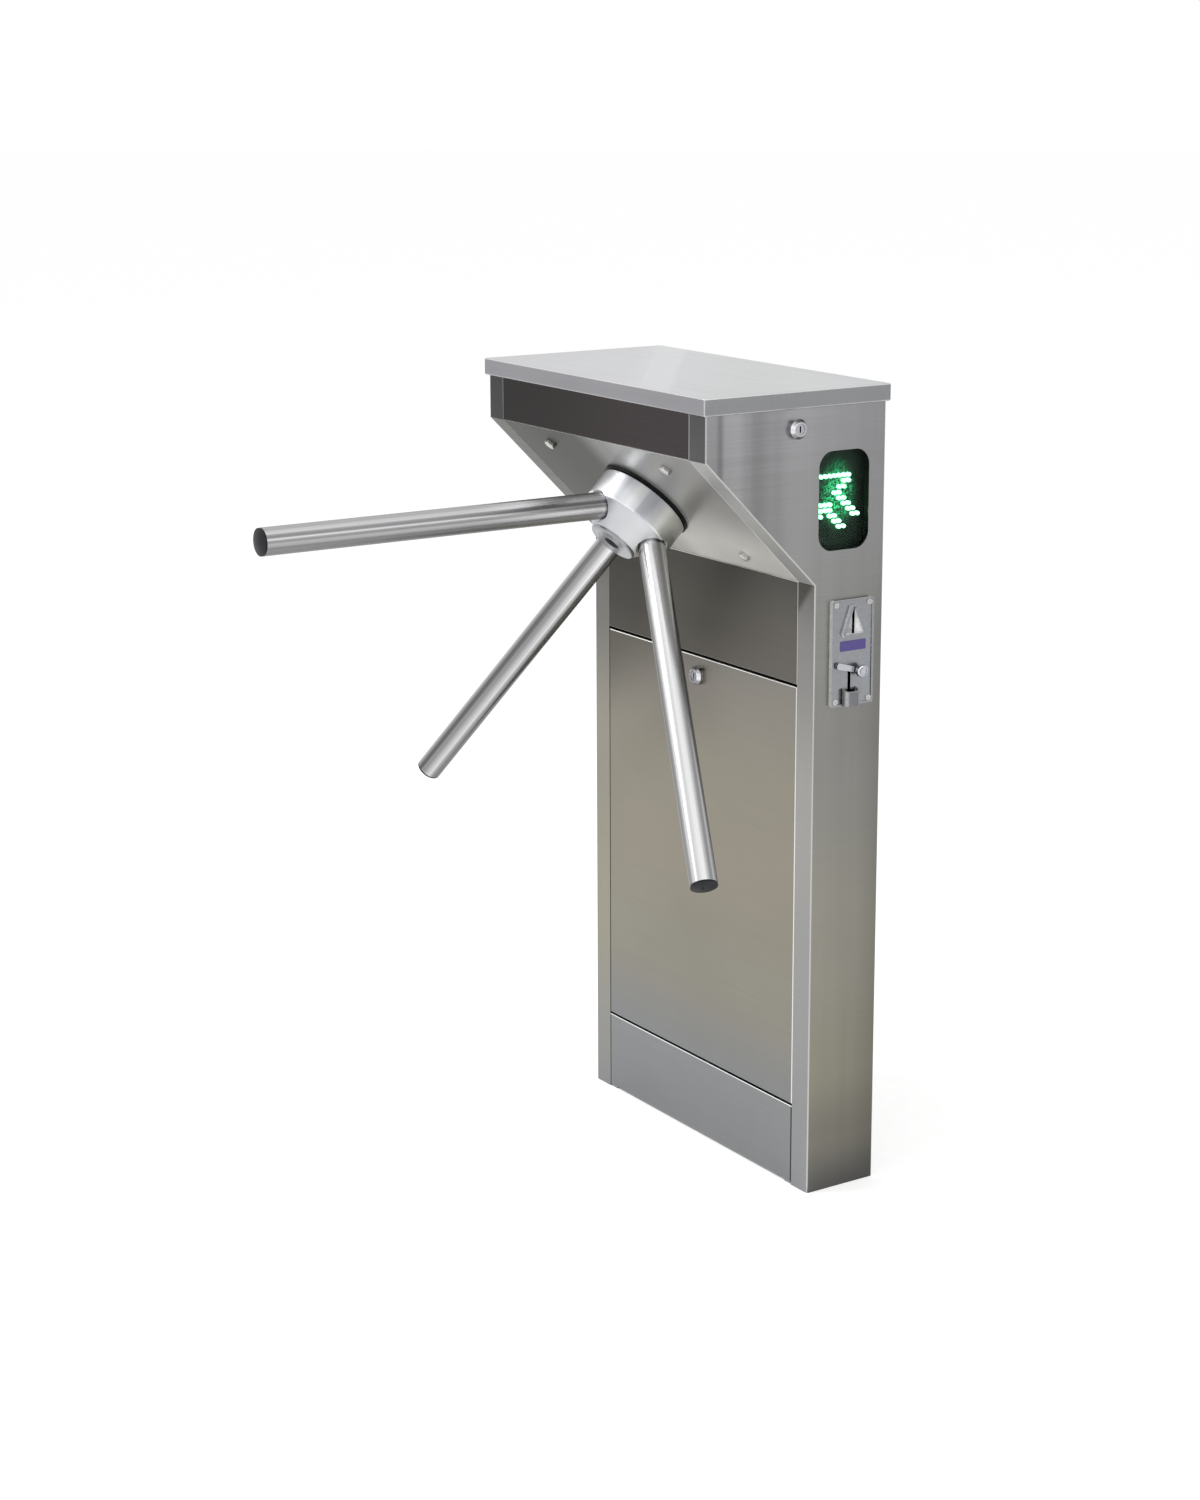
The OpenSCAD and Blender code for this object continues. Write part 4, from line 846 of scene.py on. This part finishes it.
def studio_floor():
    surface = Surface("pale_floor")
    speckle = surface.noise(surface.stretched((60, 60, 60)), detail=2)
    surface.fixed(Roughness=0.9, Specular_IOR_Level=0.0, Emission_Color=(1, 1, 1, 1))
    path = surface.add("ShaderNodeLightPath")
    mirrored = surface.maths("MAXIMUM", path.outputs["Is Glossy Ray"], path.outputs["Is Transmission Ray"])
    seen = surface.maths("MAXIMUM", surface.maths("MULTIPLY", mirrored, 0.4), path.outputs["Is Camera Ray"])
    surface.driven(Base_Color=surface.mottled(speckle, (238, 238, 238), (242, 242, 242)),
                   Emission_Strength=surface.spread(seen, 0, 1, 0.2, 0.47))
    bm = bmesh.new()
    bmesh.ops.create_circle(bm, cap_ends=True, segments=64, radius=30)
    mesh = new_mesh("studio_floor", bm)
    floor = new_object("studio_floor", mesh)
    mesh.materials.append(surface.material)


def studio_world():
    """White to the camera and in reflections, and softer as light on the object."""
    world = bpy.data.worlds.new("studio_world")
    bpy.context.scene.world = world
    world.use_nodes = True
    tree = world.node_tree
    background = tree.nodes["Background"]
    path = tree.nodes.new("ShaderNodeLightPath")
    seen = tree.nodes.new("ShaderNodeMath")
    seen.operation = "MAXIMUM"
    tree.links.new(path.outputs["Is Camera Ray"], seen.inputs[0])
    tree.links.new(path.outputs["Is Glossy Ray"], seen.inputs[1])
    through = tree.nodes.new("ShaderNodeMath")
    through.operation = "MAXIMUM"
    tree.links.new(seen.outputs["Value"], through.inputs[0])
    tree.links.new(path.outputs["Is Transmission Ray"], through.inputs[1])
    level = tree.nodes.new("ShaderNodeMapRange")
    level.inputs["To Min"].default_value = 0.6
    level.inputs["To Max"].default_value = 1.0
    tree.links.new(through.outputs["Value"], level.inputs["Value"])
    tree.links.new(level.outputs["Result"], background.inputs["Strength"])
    background.inputs["Color"].default_value = (1, 1, 1, 1)


def studio_lamp(name, place, target, size, watts):
    lamp = bpy.data.lights.new(name, "AREA")
    lamp.shape = "RECTANGLE"
    lamp.size, lamp.size_y = size
    lamp.energy = watts
    holder = new_object(name, lamp)
    holder.location = place
    holder.rotation_euler = (Vector(target) - Vector(place)).to_track_quat("-Z", "Y").to_euler()


def photo_camera():
    """Camera whose place, turn, lens and shift are fitted to the cabinet's edges in the photo."""
    lens = bpy.data.cameras.new("photo_camera")
    lens.lens = 68.58
    lens.shift_x, lens.shift_y = -0.0461, -0.0339
    holder = new_object("photo_camera", lens)
    holder.location = (2.8816, -2.04916, 1.41294)
    holder.rotation_euler = [math.radians(angle) for angle in (76.6792, -0.1015, 55.8902)]
    bpy.context.scene.camera = holder


studio_floor()
studio_world()
studio_lamp("key_lamp", (-1.6, -2.6, 3.0), (0, -0.1, 0.6), (1.6, 1.6), 60)
studio_lamp("side_lamp", (3.2, 0.8, 2.2), (0, 0, 0.6), (2.4, 2.4), 30)
photo_camera()
bpy.context.scene.view_settings.view_transform = "Standard"
